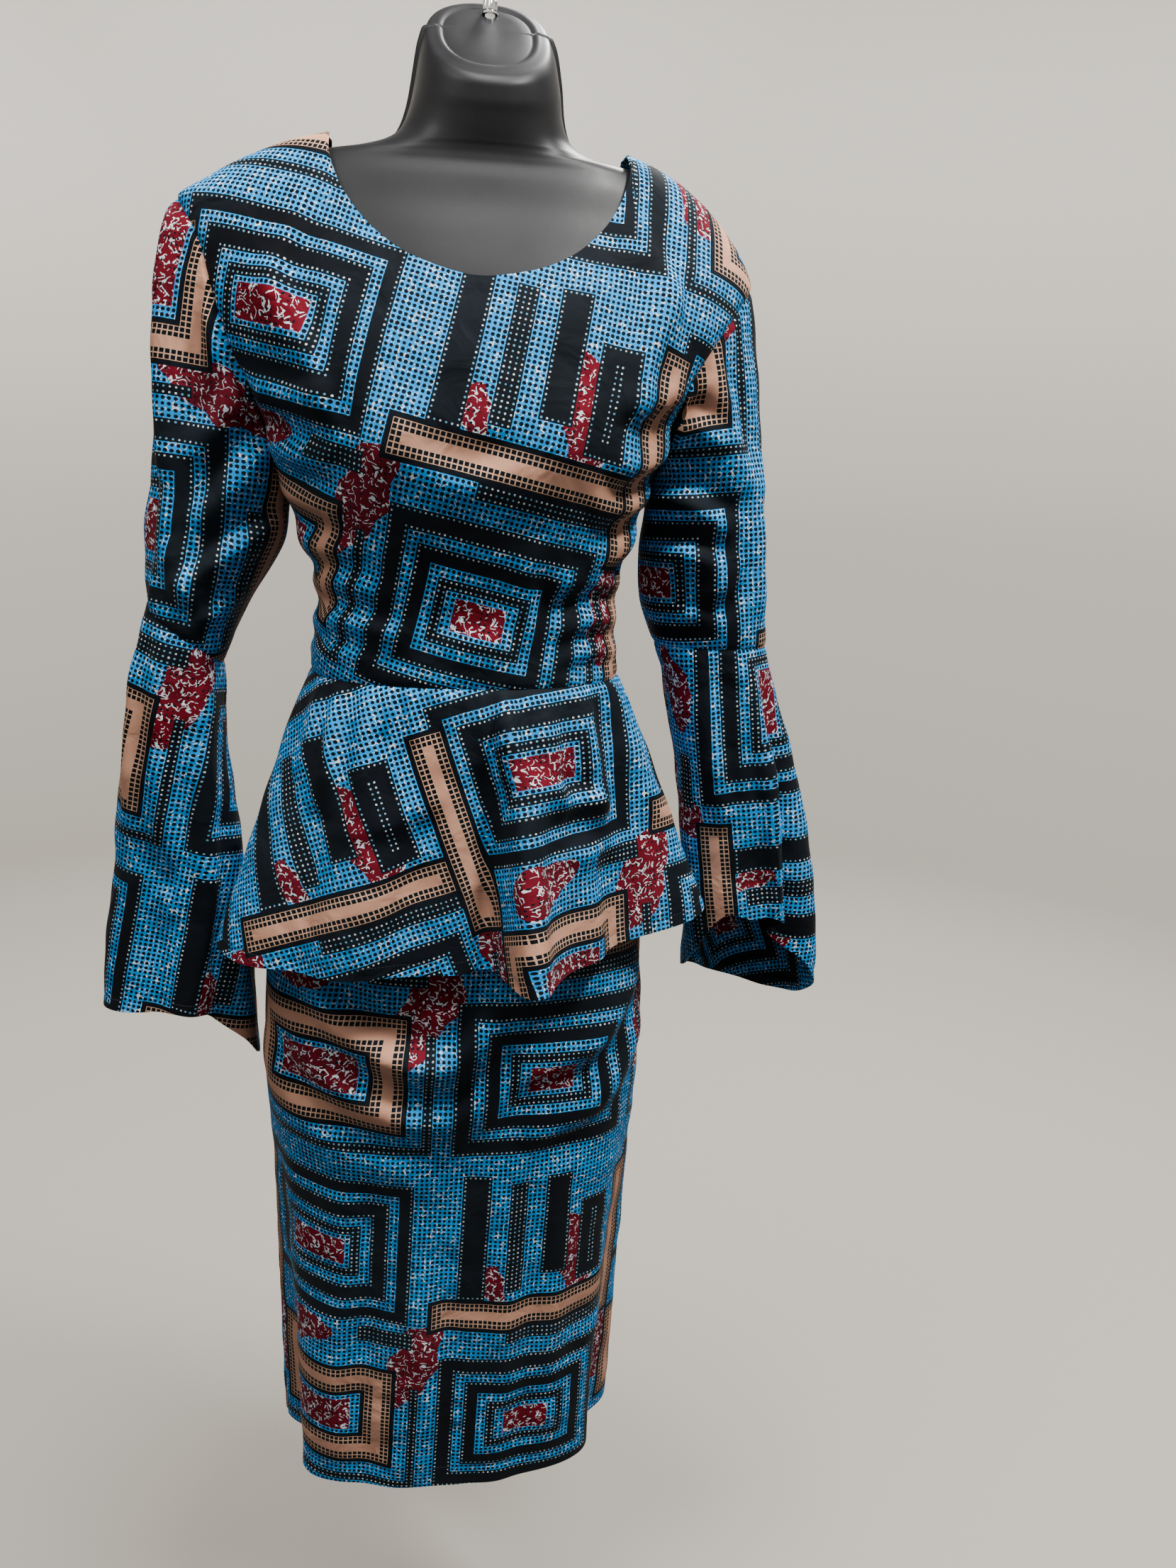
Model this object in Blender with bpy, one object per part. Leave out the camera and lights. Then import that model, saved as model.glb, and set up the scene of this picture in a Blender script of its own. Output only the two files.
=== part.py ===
"""Peplum dress of ankara wax print, filled out on a hanging dress form.

Metres, +Z up, the front faces -Y. The origin is inside the top of the hook, where it rests on its rail.
Places in the tables are measured from the middle of the waist seam, which lies at WAIST.
Right and left are the wearer's: the right sleeve is at -X.
Directions go round from the front, 0, towards +X, and those round an arm from its inner edge, 0, through its front.
"""

import math

import bpy
import numpy as np

# Driving dimensions
WAIST = (-0.0160, -0.0220, -0.6220)
CLOTH = 0.0015
SEAM_GAP = 0.0003
SQUARENESS = 2.3

# Bodice: height, reach to -X, reach to +X, depth to the front, depth to the back, place of its middle
BODY = (
    (-0.010, 0.1385, 0.1385, 0.1095, 0.0720, 0.0010),
    (0.000, 0.1370, 0.1370, 0.1090, 0.0720, 0.0010),
    (0.060, 0.1300, 0.1300, 0.1080, 0.0720, 0.0020),
    (0.120, 0.1420, 0.1420, 0.1200, 0.0760, 0.0035),
    (0.160, 0.1540, 0.1540, 0.1270, 0.0790, 0.0045),
    (0.200, 0.1700, 0.1680, 0.1280, 0.0800, 0.0055),
    (0.236, 0.1960, 0.1900, 0.1230, 0.0800, 0.0065),
    (0.264, 0.2140, 0.2070, 0.1160, 0.0790, 0.0070),
    (0.300, 0.2300, 0.2260, 0.1030, 0.0760, 0.0075),
    (0.329, 0.2380, 0.2320, 0.0890, 0.0710, 0.0080),
    (0.350, 0.2410, 0.2240, 0.0780, 0.0650, 0.0080),
    (0.372, 0.2390, 0.2080, 0.0680, 0.0590, 0.0080),
    (0.388, 0.2160, 0.1930, 0.0610, 0.0550, 0.0080),
    (0.403, 0.1890, 0.1740, 0.0550, 0.0510, 0.0080),
    (0.417, 0.1560, 0.1480, 0.0500, 0.0470, 0.0080),
    (0.4275, 0.1200, 0.1200, 0.0470, 0.0450, 0.0080),
    (0.440, 0.1050, 0.1050, 0.0450, 0.0430, 0.0080),
)
# Bust: distance from the middle, height, fullness, spread sideways, spread upwards
BUST = (0.074, 0.190, 0.012, 0.034, 0.040)
ARMPIT = 0.200
NECK_POINT = 0.4275
FRONT_NECK = 0.317
BACK_NECK = 0.388
NECK_SHARE = 0.6
# Armholes, from the armpit to the shoulder: distance from the middle, height
RIGHT_ARMHOLE = (
    (0.1700, 0.200),
    (0.1785, 0.228),
    (0.1910, 0.249),
    (0.1990, 0.272),
    (0.2070, 0.297),
    (0.2190, 0.340),
    (0.2390, 0.372),
)
LEFT_ARMHOLE = (
    (0.1680, 0.200),
    (0.1700, 0.236),
    (0.1800, 0.257),
    (0.1920, 0.276),
    (0.2050, 0.294),
    (0.2180, 0.312),
    (0.2320, 0.329),
)
BODICE_COLUMNS = 10
SIDE_ROWS = 4
CHEST_ROWS = 12

# Arms below the armhole: height, inner edge, outer edge, depth to the front, depth to the back
RIGHT_ARM = (
    (0.150, 0.1540, 0.2620, 0.0500, 0.0400),
    (0.113, 0.1590, 0.2690, 0.0500, 0.0400),
    (0.060, 0.1890, 0.2760, 0.0490, 0.0400),
    (0.025, 0.2070, 0.2820, 0.0480, 0.0400),
    (0.000, 0.2150, 0.2890, 0.0470, 0.0420),
    (-0.054, 0.2165, 0.3010, 0.0450, 0.0470),
    (-0.119, 0.2120, 0.3120, 0.0420, 0.0560),
    (-0.185, 0.2060, 0.3190, 0.0360, 0.0680),
    (-0.254, 0.2040, 0.3310, 0.0330, 0.0780),
    (-0.330, 0.2010, 0.3380, 0.0360, 0.0800),
    (-0.400, 0.1980, 0.3400, 0.0380, 0.0800),
)
LEFT_ARM = (
    (0.150, 0.1535, 0.2560, 0.0500, 0.0400),
    (0.100, 0.1500, 0.2630, 0.0480, 0.0400),
    (0.066, 0.1530, 0.2690, 0.0460, 0.0380),
    (0.030, 0.1660, 0.2720, 0.0440, 0.0370),
    (0.000, 0.1770, 0.2760, 0.0430, 0.0380),
    (-0.046, 0.1860, 0.2880, 0.0420, 0.0430),
    (-0.082, 0.1940, 0.2995, 0.0410, 0.0490),
    (-0.140, 0.2030, 0.3140, 0.0390, 0.0580),
    (-0.194, 0.2080, 0.3260, 0.0370, 0.0660),
    (-0.249, 0.2130, 0.3350, 0.0370, 0.0720),
    (-0.300, 0.2150, 0.3420, 0.0380, 0.0760),
    (-0.380, 0.2150, 0.3450, 0.0380, 0.0780),
)
ARM_MIDDLE = 0.005
# Elbow seams: height at the middle of the arm, rise from there to its outer edge
RIGHT_ELBOW = (0.030, 0.028)
LEFT_ELBOW = (0.026, 0.000)
# Slope of each sleeve's head where it leaves the shoulder
RIGHT_HEAD_SLOPE = math.radians(24)
LEFT_HEAD_SLOPE = math.radians(76)
# Bell hems: height, then bumps of direction, rise and spread
RIGHT_HEM = -0.318
RIGHT_HEM_BUMPS = ((math.radians(-8), -0.062, math.radians(32)),)
LEFT_HEM = -0.345
LEFT_HEM_BUMPS = (
    (math.radians(52), 0.104, math.radians(46)),
    (math.radians(124), 0.100, math.radians(46)),
    (math.radians(-30), 0.034, math.radians(45)),
)
# Bell folds: direction, rise at the hem, spread
RIGHT_BELL_FOLDS = (
    (math.radians(32), -0.012, math.radians(14)),
    (math.radians(66), 0.009, math.radians(16)),
    (math.radians(118), -0.006, math.radians(24)),
    (math.radians(228), -0.012, math.radians(22)),
    (math.radians(300), -0.014, math.radians(20)),
)
LEFT_BELL_FOLDS = (
    (math.radians(60), 0.004, math.radians(26)),
    (math.radians(148), -0.018, math.radians(13)),
    (math.radians(182), 0.006, math.radians(14)),
    (math.radians(238), -0.012, math.radians(22)),
    (math.radians(305), -0.014, math.radians(22)),
)
HEAD_ROWS = 6
ARM_ROWS = 3
BELL_ROWS = 7
ARM_COLUMNS = 2 * CHEST_ROWS

# Peplum: share of its length, half width, depth to the front, depth to the back, place of its middle
PEPLUM = (
    (0.00, 0.1370, 0.1090, 0.0720, 0.0010),
    (0.12, 0.1490, 0.1140, 0.0760, 0.0010),
    (0.35, 0.1690, 0.1190, 0.0840, 0.0010),
    (0.70, 0.1960, 0.1260, 0.0950, 0.0015),
    (1.00, 0.2150, 0.1320, 0.1030, 0.0020),
)
PEPLUM_HEM = -0.243
PEPLUM_HEM_BUMPS = (
    (math.radians(84), 0.023, math.radians(30)),
    (math.radians(-76), -0.004, math.radians(16)),
)
# Peplum flutes: direction, rise at the hem, spread before it, spread after it
PEPLUM_FLUTES = (
    (math.radians(-152), 0.014, math.radians(13), math.radians(13)),
    (math.radians(-128), -0.010, math.radians(12), math.radians(12)),
    (math.radians(-97), -0.030, math.radians(12), math.radians(11)),
    (math.radians(-74), 0.014, math.radians(8), math.radians(16)),
    (math.radians(-39), 0.020, math.radians(14), math.radians(10)),
    (math.radians(16.5), 0.046, math.radians(5.0), math.radians(13)),
    (math.radians(58), -0.020, math.radians(15), math.radians(13)),
    (math.radians(76), 0.015, math.radians(10), math.radians(8)),
    (math.radians(96), -0.028, math.radians(10), math.radians(13)),
    (math.radians(132), 0.012, math.radians(13), math.radians(13)),
    (math.radians(166), 0.013, math.radians(13), math.radians(13)),
)
FLUTE_GROWTH = 1.4
PEPLUM_ROWS = 8
SKIRT_AND_PEPLUM_COLUMNS = 64

# Skirt: height, half width, depth to the front, depth to the back, place of its middle
SKIRT = (
    (0.000, 0.1352, 0.1072, 0.0702, 0.0010),
    (-0.050, 0.1420, 0.1075, 0.0720, 0.0000),
    (-0.120, 0.1560, 0.1090, 0.0760, -0.0020),
    (-0.200, 0.1700, 0.1120, 0.0800, -0.0040),
    (-0.300, 0.1790, 0.1160, 0.0800, -0.0050),
    (-0.380, 0.1810, 0.1180, 0.0780, -0.0060),
    (-0.480, 0.1770, 0.1170, 0.0740, -0.0065),
    (-0.620, 0.1755, 0.1150, 0.0700, -0.0085),
    (-0.795, 0.1725, 0.1140, 0.0680, -0.0100),
)
SKIRT_TOP = -0.0003
# Skirt folds: direction, rise at the hem, spread, height where it starts
SKIRT_FOLDS = (
    (math.radians(-77), -0.024, math.radians(9), -0.400),
    (math.radians(74), -0.022, math.radians(9), -0.400),
    (math.radians(-58), 0.006, math.radians(9), -0.450),
    (math.radians(54), 0.005, math.radians(9), -0.450),
)
# The skirt over the form's lower edge: sideways place, height, rise, spread sideways, spread upwards
SAG = (-0.045, -0.330, 0.006, 0.060, 0.055)
SKIRT_ROWS = 9

# Form: height, half width, depth to the front, depth to the back, rise towards the back, place of its middle
FORM = (
    (-0.350, 0.1460, 0.0900, 0.0480, 0.0, -0.0020),
    (-0.344, 0.1560, 0.0990, 0.0540, 0.0, -0.0020),
    (-0.320, 0.1620, 0.1050, 0.0590, 0.0, -0.0020),
    (-0.260, 0.1610, 0.1050, 0.0620, 0.0, -0.0020),
    (-0.180, 0.1530, 0.1010, 0.0620, 0.0, -0.0015),
    (-0.090, 0.1380, 0.0970, 0.0610, 0.0, 0.0000),
    (0.000, 0.1240, 0.0970, 0.0600, 0.0, 0.0015),
    (0.060, 0.1220, 0.0990, 0.0600, 0.0, 0.0025),
    (0.110, 0.1310, 0.1110, 0.0640, 0.0, 0.0035),
    (0.155, 0.1430, 0.1200, 0.0670, 0.0, 0.0042),
    (0.195, 0.1530, 0.1230, 0.0690, 0.0, 0.0050),
    (0.235, 0.1630, 0.1180, 0.0690, 0.0, 0.0056),
    (0.275, 0.1720, 0.1060, 0.0680, 0.0, 0.0063),
    (0.315, 0.1800, 0.0900, 0.0640, 0.0, 0.0070),
    (0.350, 0.1830, 0.0740, 0.0570, 0.0, 0.0076),
    (0.376, 0.1780, 0.0620, 0.0500, 0.0, 0.0080),
    (0.394, 0.1680, 0.0550, 0.0450, 0.0, 0.0083),
    (0.4070, 0.1520, 0.0498, 0.0420, 0.0, 0.0085),
    (0.4130, 0.1320, 0.0488, 0.0400, 0.0, 0.0086),
    (0.4165, 0.1080, 0.0488, 0.0400, 0.0, 0.0088),
    (0.4220, 0.0860, 0.0495, 0.0400, 0.02, 0.0100),
    (0.4330, 0.0690, 0.0510, 0.0410, 0.08, 0.0117),
    (0.4510, 0.0615, 0.0525, 0.0440, 0.24, 0.0128),
    (0.4750, 0.0575, 0.0540, 0.0460, 0.50, 0.0140),
    (0.4970, 0.0530, 0.0540, 0.0465, 0.74, 0.0140),
    (0.5070, 0.0480, 0.0505, 0.0430, 0.83, 0.0135),
    (0.5090, 0.0415, 0.0450, 0.0380, 0.85, 0.0135),
)
FORM_BUST = (0.074, 0.190, 0.0120, 0.034, 0.040)
FORM_COLUMNS = 30
RIM = 0.0035
RIM_DIRECTION = math.radians(96)

# Hook: a bent wire set into the neck cap
WIRE_RADIUS = 0.0020
HOOK_INNER_RADIUS = 0.0170
HOOK_START = math.radians(-52)
HOOK_END = math.radians(196)
HOOK_POINTS = 18
STEM_TOP = -0.0560
SOCKET_DEPTH = 0.0120


def clear_scene():
    for obj in list(bpy.data.objects):
        bpy.data.objects.remove(obj, do_unlink=True)


def finish(name, colour, roughness, metallic=0.0):
    material = bpy.data.materials.new(name)
    material.use_nodes = True
    shader = material.node_tree.nodes["Principled BSDF"]
    shader.inputs["Base Color"].default_value = (*colour, 1.0)
    shader.inputs["Roughness"].default_value = roughness
    shader.inputs["Metallic"].default_value = metallic
    material.diffuse_color = (*colour, 1.0)
    return material


def read_table(table, at):
    """The columns after the first, read at these places on smooth curves that don't overshoot the rows."""
    rows = np.array(sorted(table), float)
    known, values = rows[:, 0], rows[:, 1:]
    at = np.clip(np.asarray(at, float), known[0], known[-1])
    steps = np.diff(known)[:, None]
    slopes = np.diff(values, axis=0) / steps
    tangents = np.zeros_like(values)
    tangents[0], tangents[-1] = slopes[0], slopes[-1]
    before, after = slopes[:-1], slopes[1:]
    same_way = before * after > 0
    total = np.where(same_way, before + after, 1.0)
    tangents[1:-1] = np.where(same_way, 2 * before * after / total, 0.0)
    index = np.clip(np.searchsorted(known, at) - 1, 0, len(known) - 2)
    step = steps[index, 0]
    s = ((at - known[index]) / step)[..., None]
    step = step[..., None]
    found = (
        (2 * s**3 - 3 * s**2 + 1) * values[index]
        + (s**3 - 2 * s**2 + s) * step * tangents[index]
        + (3 * s**2 - 2 * s**3) * values[index + 1]
        + (s**3 - s**2) * step * tangents[index + 1]
    )
    return np.moveaxis(found, -1, 0)


def along_path(points, share):
    """Places on a path at shares of its length."""
    points = np.array(points, float)
    lengths = np.concatenate([[0], np.cumsum(np.linalg.norm(np.diff(points, axis=0), axis=1))])
    table = [(length / lengths[-1], *point) for length, point in zip(lengths, points)]
    return read_table(table, share)


def hump(away, spread):
    return np.exp(-((away / spread) ** 2))


def turned(angle):
    """An angle brought to between minus and plus half a turn."""
    return (angle + math.pi) % (2 * math.pi) - math.pi


def bumps(angle, table):
    """The sum of soft bumps: direction, rise, spread before it and, where that differs, spread after it."""
    rise = np.zeros_like(angle)
    for at, size, *spreads in table:
        away = turned(angle - at)
        rise += size * hump(away, np.where(away < 0, spreads[0], spreads[-1]))
    return rise


def section(angle, half_width, front, back, rise=0.0):
    """A rounded level section: 0 is the front and a right angle is the +X side."""
    depth = np.where(np.cos(angle) > 0, front, back)
    across = (np.abs(np.sin(angle)) / half_width) ** SQUARENESS
    along = (np.abs(np.cos(angle)) / depth) ** SQUARENESS
    radius = (across + along) ** (-1 / SQUARENESS) + rise
    return radius * np.sin(angle), -radius * np.cos(angle)


def bust_rise(x, height, bust):
    apart, level, fullness, wide, tall = bust
    sides = hump(x - apart, wide) + hump(x + apart, wide)
    return fullness * sides * hump(height - level, tall)


def outward_normals(points, closed):
    """Unit normals of a grid of points whose rows go up and whose columns go round through the front to +X."""
    if closed:
        along = np.roll(points, -1, axis=1) - np.roll(points, 1, axis=1)
    else:
        along = np.gradient(points, axis=1)
    normals = np.cross(along, np.gradient(points, axis=0))
    return normals / np.linalg.norm(normals, axis=2, keepdims=True)


def add_object(name, vertices, faces, material):
    mesh = bpy.data.meshes.new(name)
    mesh.from_pydata([tuple(v) for v in vertices], [], faces)
    mesh.materials.append(material)
    mesh.shade_smooth()
    mesh.set_sharp_from_angle(angle=math.radians(40))
    obj = bpy.data.objects.new(name, mesh)
    obj.location = WAIST
    bpy.context.scene.collection.objects.link(obj)
    return obj


def add_wall(name, outer, normals, closed, material):
    """A closed wall of cloth: its outer grid, the same grid a cloth's thickness inside it, and its edges."""
    inner = outer - normals * CLOTH
    rows, columns = outer.shape[:2]
    inside = rows * columns
    spans = columns if closed else columns - 1
    faces = []
    for i in range(rows - 1):
        for j in range(spans):
            low, high = i * columns, (i + 1) * columns
            k = (j + 1) % columns
            faces.append((low + j, low + k, high + k, high + j))
            faces.append((inside + low + j, inside + high + j, inside + high + k, inside + low + k))
    for j in range(spans):
        top = (rows - 1) * columns
        k = (j + 1) % columns
        faces.append((j, inside + j, inside + k, k))
        faces.append((top + j, top + k, inside + top + k, inside + top + j))
    if not closed:
        for i in range(rows - 1):
            low, high = i * columns, (i + 1) * columns
            faces.append((low, high, inside + high, inside + low))
            low, high = low + columns - 1, high + columns - 1
            faces.append((low, inside + low, inside + high, high))
    vertices = np.concatenate([outer.reshape(-1, 3), inner.reshape(-1, 3)])
    return add_object(name, vertices, faces, material)


def add_panels(ring, prefix, material):
    """Cuts a ring of cloth into its front and its two back panels, with a seam's gap between them."""
    normals = outward_normals(ring, True)
    columns = ring.shape[1]
    quarter = columns // 4
    cuts = (
        ("front", range(-quarter, quarter + 1), (0.0, -1.0)),
        ("back_left", range(quarter, 2 * quarter + 1), (1.0, 1.0)),
        ("back_right", range(2 * quarter, 3 * quarter + 1), (-1.0, 1.0)),
    )
    for part, chosen, (side, depth) in cuts:
        picked = [c % columns for c in chosen]
        shift = np.array([side, depth, 0.0]) * SEAM_GAP / 2
        add_wall(f"{prefix}_{part}", ring[:, picked] + shift, normals[:, picked], False, material)


def bodice_point(side, x, height, face):
    """The cloth's outer point at this distance towards a side (-1 or 1), on the front (-1) or the back (1)."""
    reach_right, reach_left, front, back, middle = read_table(BODY, height)
    reach = reach_right if side < 0 else reach_left
    share = np.clip(x / reach, 0.0, 1.0)
    depth = np.where(face < 0, front, back) * (1 - share**SQUARENESS) ** (1 / SQUARENESS)
    depth = depth + np.where(face < 0, bust_rise(x, height, BUST) * (1 - share**4), 0.0)
    return np.stack([side * x + middle, face * depth, height + 0.0 * x], axis=-1)


def armhole_shares():
    """The rows of the chest as shares of the armhole, close together over the shoulder."""
    return np.sin(np.linspace(0, math.pi / 2, CHEST_ROWS + 1))


def bodice_half(side, face):
    """One half of the front or back: rows from the waist up, columns from the middle out to the side."""
    reach_column = 0 if side < 0 else 1
    armhole = RIGHT_ARMHOLE if side < 0 else LEFT_ARMHOLE
    across = np.linspace(0, 1, BODICE_COLUMNS + 1)
    sine = np.sin(across * math.pi / 2) ** (2 / SQUARENESS)
    neck = FRONT_NECK if face < 0 else BACK_NECK
    grid = []
    for height in np.linspace(SEAM_GAP / 2, ARMPIT, SIDE_ROWS + 1):
        reach = read_table(BODY, height)[reach_column]
        grid.append(np.stack([reach * sine, np.full_like(across, height)], axis=-1))
    bottom = grid.pop()
    neck_reach = read_table(BODY, NECK_POINT)[reach_column]
    heights = np.linspace(NECK_POINT, armhole[-1][1], 40)
    ridge = np.stack([read_table(BODY, heights)[reach_column], heights], axis=-1)
    shoulder = along_path(ridge, np.clip((across - NECK_SHARE) / (1 - NECK_SHARE), 0, 1))
    scoop = np.clip(across / NECK_SHARE, 0, 1) * math.pi / 2
    in_neck = across < NECK_SHARE
    top = np.stack(
        [
            np.where(in_neck, neck_reach * np.sin(scoop), shoulder[0]),
            np.where(in_neck, NECK_POINT - (NECK_POINT - neck) * np.cos(scoop), shoulder[1]),
        ],
        axis=-1,
    )
    u = across[:, None]
    for v in armhole_shares():
        left = (1 - v) * bottom[0] + v * top[0]
        right = along_path(armhole, v)
        corners = (1 - u) * left + u * ((1 - v) * bottom[-1] + v * top[-1])
        grid.append((1 - v) * bottom + v * top + (1 - u) * left + u * right - corners)
    grid = np.array(grid)
    return bodice_point(side, grid[..., 0], grid[..., 1], face)


def make_bodice(material):
    """Builds the front and the two backs, and returns each armhole as the points and normals of its edge."""
    edges = {}
    for face in (-1, 1):
        whole = np.concatenate([bodice_half(-1, face)[:, :0:-1], bodice_half(1, face)], axis=1)
        normals = outward_normals(whole, False) * -face
        middle = BODICE_COLUMNS
        shoulder = [j for j in range(middle + 1) if j / middle >= NECK_SHARE]
        seams = [(i, 0) for i in range(SIDE_ROWS + 1)] + [(i, 2 * middle) for i in range(SIDE_ROWS + 1)]
        seams += [(-1, middle + j) for j in shoulder] + [(-1, middle - j) for j in shoulder]
        for i, j in seams:
            normals[i, j, 1] = 0.0
            normals[i, j] /= np.linalg.norm(normals[i, j])
        for side, edge in ((-1, 0), (1, 2 * middle)):
            edges[side, face] = whole[SIDE_ROWS:, edge], normals[SIDE_ROWS:, edge]
        whole = whole + np.array([0.0, face, 0.0]) * SEAM_GAP / 2
        if face < 0:
            add_wall("bodice_front", whole, normals, False, material)
            continue
        halves = (
            ("bodice_back_left", range(2 * middle, middle - 1, -1), 1),
            ("bodice_back_right", range(middle, -1, -1), -1),
        )
        for name, chosen, side in halves:
            picked = list(chosen)
            shift = np.array([side, 0.0, 0.0]) * SEAM_GAP / 2
            add_wall(name, whole[:, picked] + shift, normals[:, picked], False, material)
    armholes = {}
    for side in (-1, 1):
        front, back = edges[side, -1], edges[side, 1]
        armholes[side] = [np.concatenate([front[i], back[i][-2:0:-1]]) for i in (0, 1)]
    return armholes


def arm_ring(turn, height, table, rise=0.0):
    """A section of an arm at +X: turn 0 is its inner edge and a quarter turn is its front."""
    inner, outer, front, back = read_table(table, height)
    x, y = section(turn - math.pi / 2, (outer - inner) / 2, front, back, rise)
    return np.stack([(inner + outer) / 2 + x + ARM_MIDDLE, y, height + 0.0 * turn], axis=-1)


def sleeve_head(start, end, turn, slope):
    """The head of a sleeve at +X, from just off the armhole to its first level section."""
    share = 1 - np.abs(turned(turn - math.pi)) / math.pi
    start = start + np.array([SEAM_GAP * 1.3, 0.0, 0.0])
    reach = np.linalg.norm(end - start, axis=1)
    dip = math.pi / 2 + (slope - math.pi / 2) * share**1.5
    pull = reach * 0.9 * (1 - 0.6 * share)
    leave = np.stack([np.cos(dip), np.zeros_like(dip), -np.sin(dip)], axis=-1) * pull[:, None]
    arrive = np.stack([0.0 * dip, 0.0 * dip, -reach * 1.1], axis=-1)
    rows = []
    for s in np.linspace(0, 1, HEAD_ROWS + 1)[:-1]:
        rows.append(
            (2 * s**3 - 3 * s**2 + 1) * start
            + (s**3 - 2 * s**2 + s) * leave
            + (3 * s**2 - 2 * s**3) * end
            + (s**3 - s**2) * arrive
        )
    return rows


def make_sleeve(side, armhole, table, elbow, slope, hem, hem_bumps, folds, material):
    """One sleeve: its upper part down to the elbow seam, and its bell. side is 1 at +X and -1 at -X."""
    name = "left_sleeve" if side > 0 else "right_sleeve"
    turn = np.arange(ARM_COLUMNS) * 2 * math.pi / ARM_COLUMNS
    top = max(table)[0]
    seam = elbow[0] - elbow[1] * np.cos(turn)
    shift = np.array([2 * ARM_MIDDLE if side < 0 else 0.0, 0.0, 0.0])
    flip = np.array([side, 1.0, 1.0])
    upper = sleeve_head(armhole[0] * flip, arm_ring(turn, top, table) - shift, turn, slope)
    for share in np.linspace(0, 1, ARM_ROWS + 1):
        upper.append(arm_ring(turn, top + share * (seam - top), table) - shift)
    low = hem + bumps(turn, hem_bumps)
    fold = bumps(turn, folds)
    bell = []
    for share in np.linspace(0, 1, BELL_ROWS + 1):
        height = seam - SEAM_GAP + share * (low - seam + SEAM_GAP)
        bell.append(arm_ring(turn, height, table, fold * share**1.3) - shift)
    for part, rows in (("upper", upper), ("bell", bell)):
        grid = np.array(rows)[::-1]
        normals = outward_normals(grid, True)
        if part == "upper":
            share = 1 - np.abs(turned(turn - math.pi)) / math.pi
            along = np.clip(2.5 * share - 0.5, 0, 1)[:, None]
            normals[-1] = (1 - along) * normals[-1] + along * armhole[1] * flip
            normals[-1] /= np.linalg.norm(normals[-1], axis=1, keepdims=True)
        if side < 0:
            grid, normals = grid[:, ::-1] * flip, normals[:, ::-1] * flip
        add_wall(f"{name}_{part}", grid, normals, True, material)


def make_peplum(material):
    angle = np.arange(SKIRT_AND_PEPLUM_COLUMNS) * 2 * math.pi / SKIRT_AND_PEPLUM_COLUMNS
    rise = bumps(angle, PEPLUM_FLUTES)
    hem = PEPLUM_HEM + bumps(angle, PEPLUM_HEM_BUMPS)
    top = -SEAM_GAP / 2
    rows = []
    for share in np.linspace(1, 0, PEPLUM_ROWS + 1):
        half_width, front, back, middle = read_table(PEPLUM, share)
        x, y = section(angle, half_width, front, back, rise * share**FLUTE_GROWTH)
        rows.append(np.stack([x + middle, y, top + share * (hem - top)], axis=-1))
    add_panels(np.array(rows), "peplum", material)


def make_skirt(material):
    angle = np.arange(SKIRT_AND_PEPLUM_COLUMNS) * 2 * math.pi / SKIRT_AND_PEPLUM_COLUMNS
    hem = SKIRT[-1][0]
    across, level, fullness, wide, tall = SAG
    rows = []
    for height in np.linspace(hem, SKIRT_TOP, SKIRT_ROWS + 1):
        half_width, front, back, middle = read_table(SKIRT, height)
        x, y = section(angle, half_width, front, back)
        rise = fullness * hump(x - across, wide) * hump(height - level, tall) * (y < 0)
        for at, size, spread, begins in SKIRT_FOLDS:
            grown = np.clip((begins - height) / (begins - hem), 0, 1)
            rise = rise + size * grown**0.9 * hump(turned(angle - at), spread)
        x, y = section(angle, half_width, front, back, rise)
        rows.append(np.stack([x + middle, y, np.full_like(x, height)], axis=-1))
    add_panels(np.array(rows), "skirt", material)


def make_form(material):
    """The plastic torso: stacked sections, closed below, with a slanted cap on its neck and a rim down each side."""
    even = turned(np.arange(FORM_COLUMNS) * 2 * math.pi / FORM_COLUMNS)
    rims = [sign * (RIM_DIRECTION + step) for sign in (1, -1) for step in (-0.05, 0.0, 0.05)]
    plain = [a for a in even if abs(abs(a) - RIM_DIRECTION) > 0.12]
    angle = np.array(sorted(plain + rims))
    rim = RIM * hump(np.abs(angle) - RIM_DIRECTION, 0.03)
    rows = []
    for height, half_width, front, back, tilt, middle in FORM:
        x, y = section(angle, half_width, front, back, rim)
        y = y - np.where(y < 0, bust_rise(x, height, FORM_BUST), 0.0)
        rows.append(np.stack([x + middle, y, height + tilt * y], axis=-1))
    rows = np.array(rows)
    columns = len(angle)
    vertices = list(rows.reshape(-1, 3))
    faces = []
    for i in range(len(FORM) - 1):
        for j in range(columns):
            k = (j + 1) % columns
            faces.append((i * columns + j, i * columns + k, (i + 1) * columns + k, (i + 1) * columns + j))
    last = len(FORM) - 1
    faces.append(tuple(range(columns - 1, -1, -1)))
    faces.append(tuple(last * columns + j for j in range(columns)))
    form = add_object("form", vertices, faces, material)
    add_socket(form)


def cap_height():
    """Where the neck cap, which slants up to the back, meets the hook's stem."""
    level, _, _, _, tilt, _ = FORM[-1]
    return WAIST[2] + level - tilt * WAIST[1]


def add_socket(form):
    """The hole in the neck cap that takes the foot of the hook."""
    bpy.ops.mesh.primitive_cylinder_add(
        vertices=12,
        radius=WIRE_RADIUS + SEAM_GAP,
        depth=2 * SOCKET_DEPTH,
        location=(0.0, 0.0, cap_height()),
    )
    cutter = bpy.context.object
    cutter.name = "socket_cutter"
    cutter.hide_render = True
    cutter.display_type = "WIRE"
    cut = form.modifiers.new("socket", "BOOLEAN")
    cut.operation = "DIFFERENCE"
    cut.object = cutter


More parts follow.
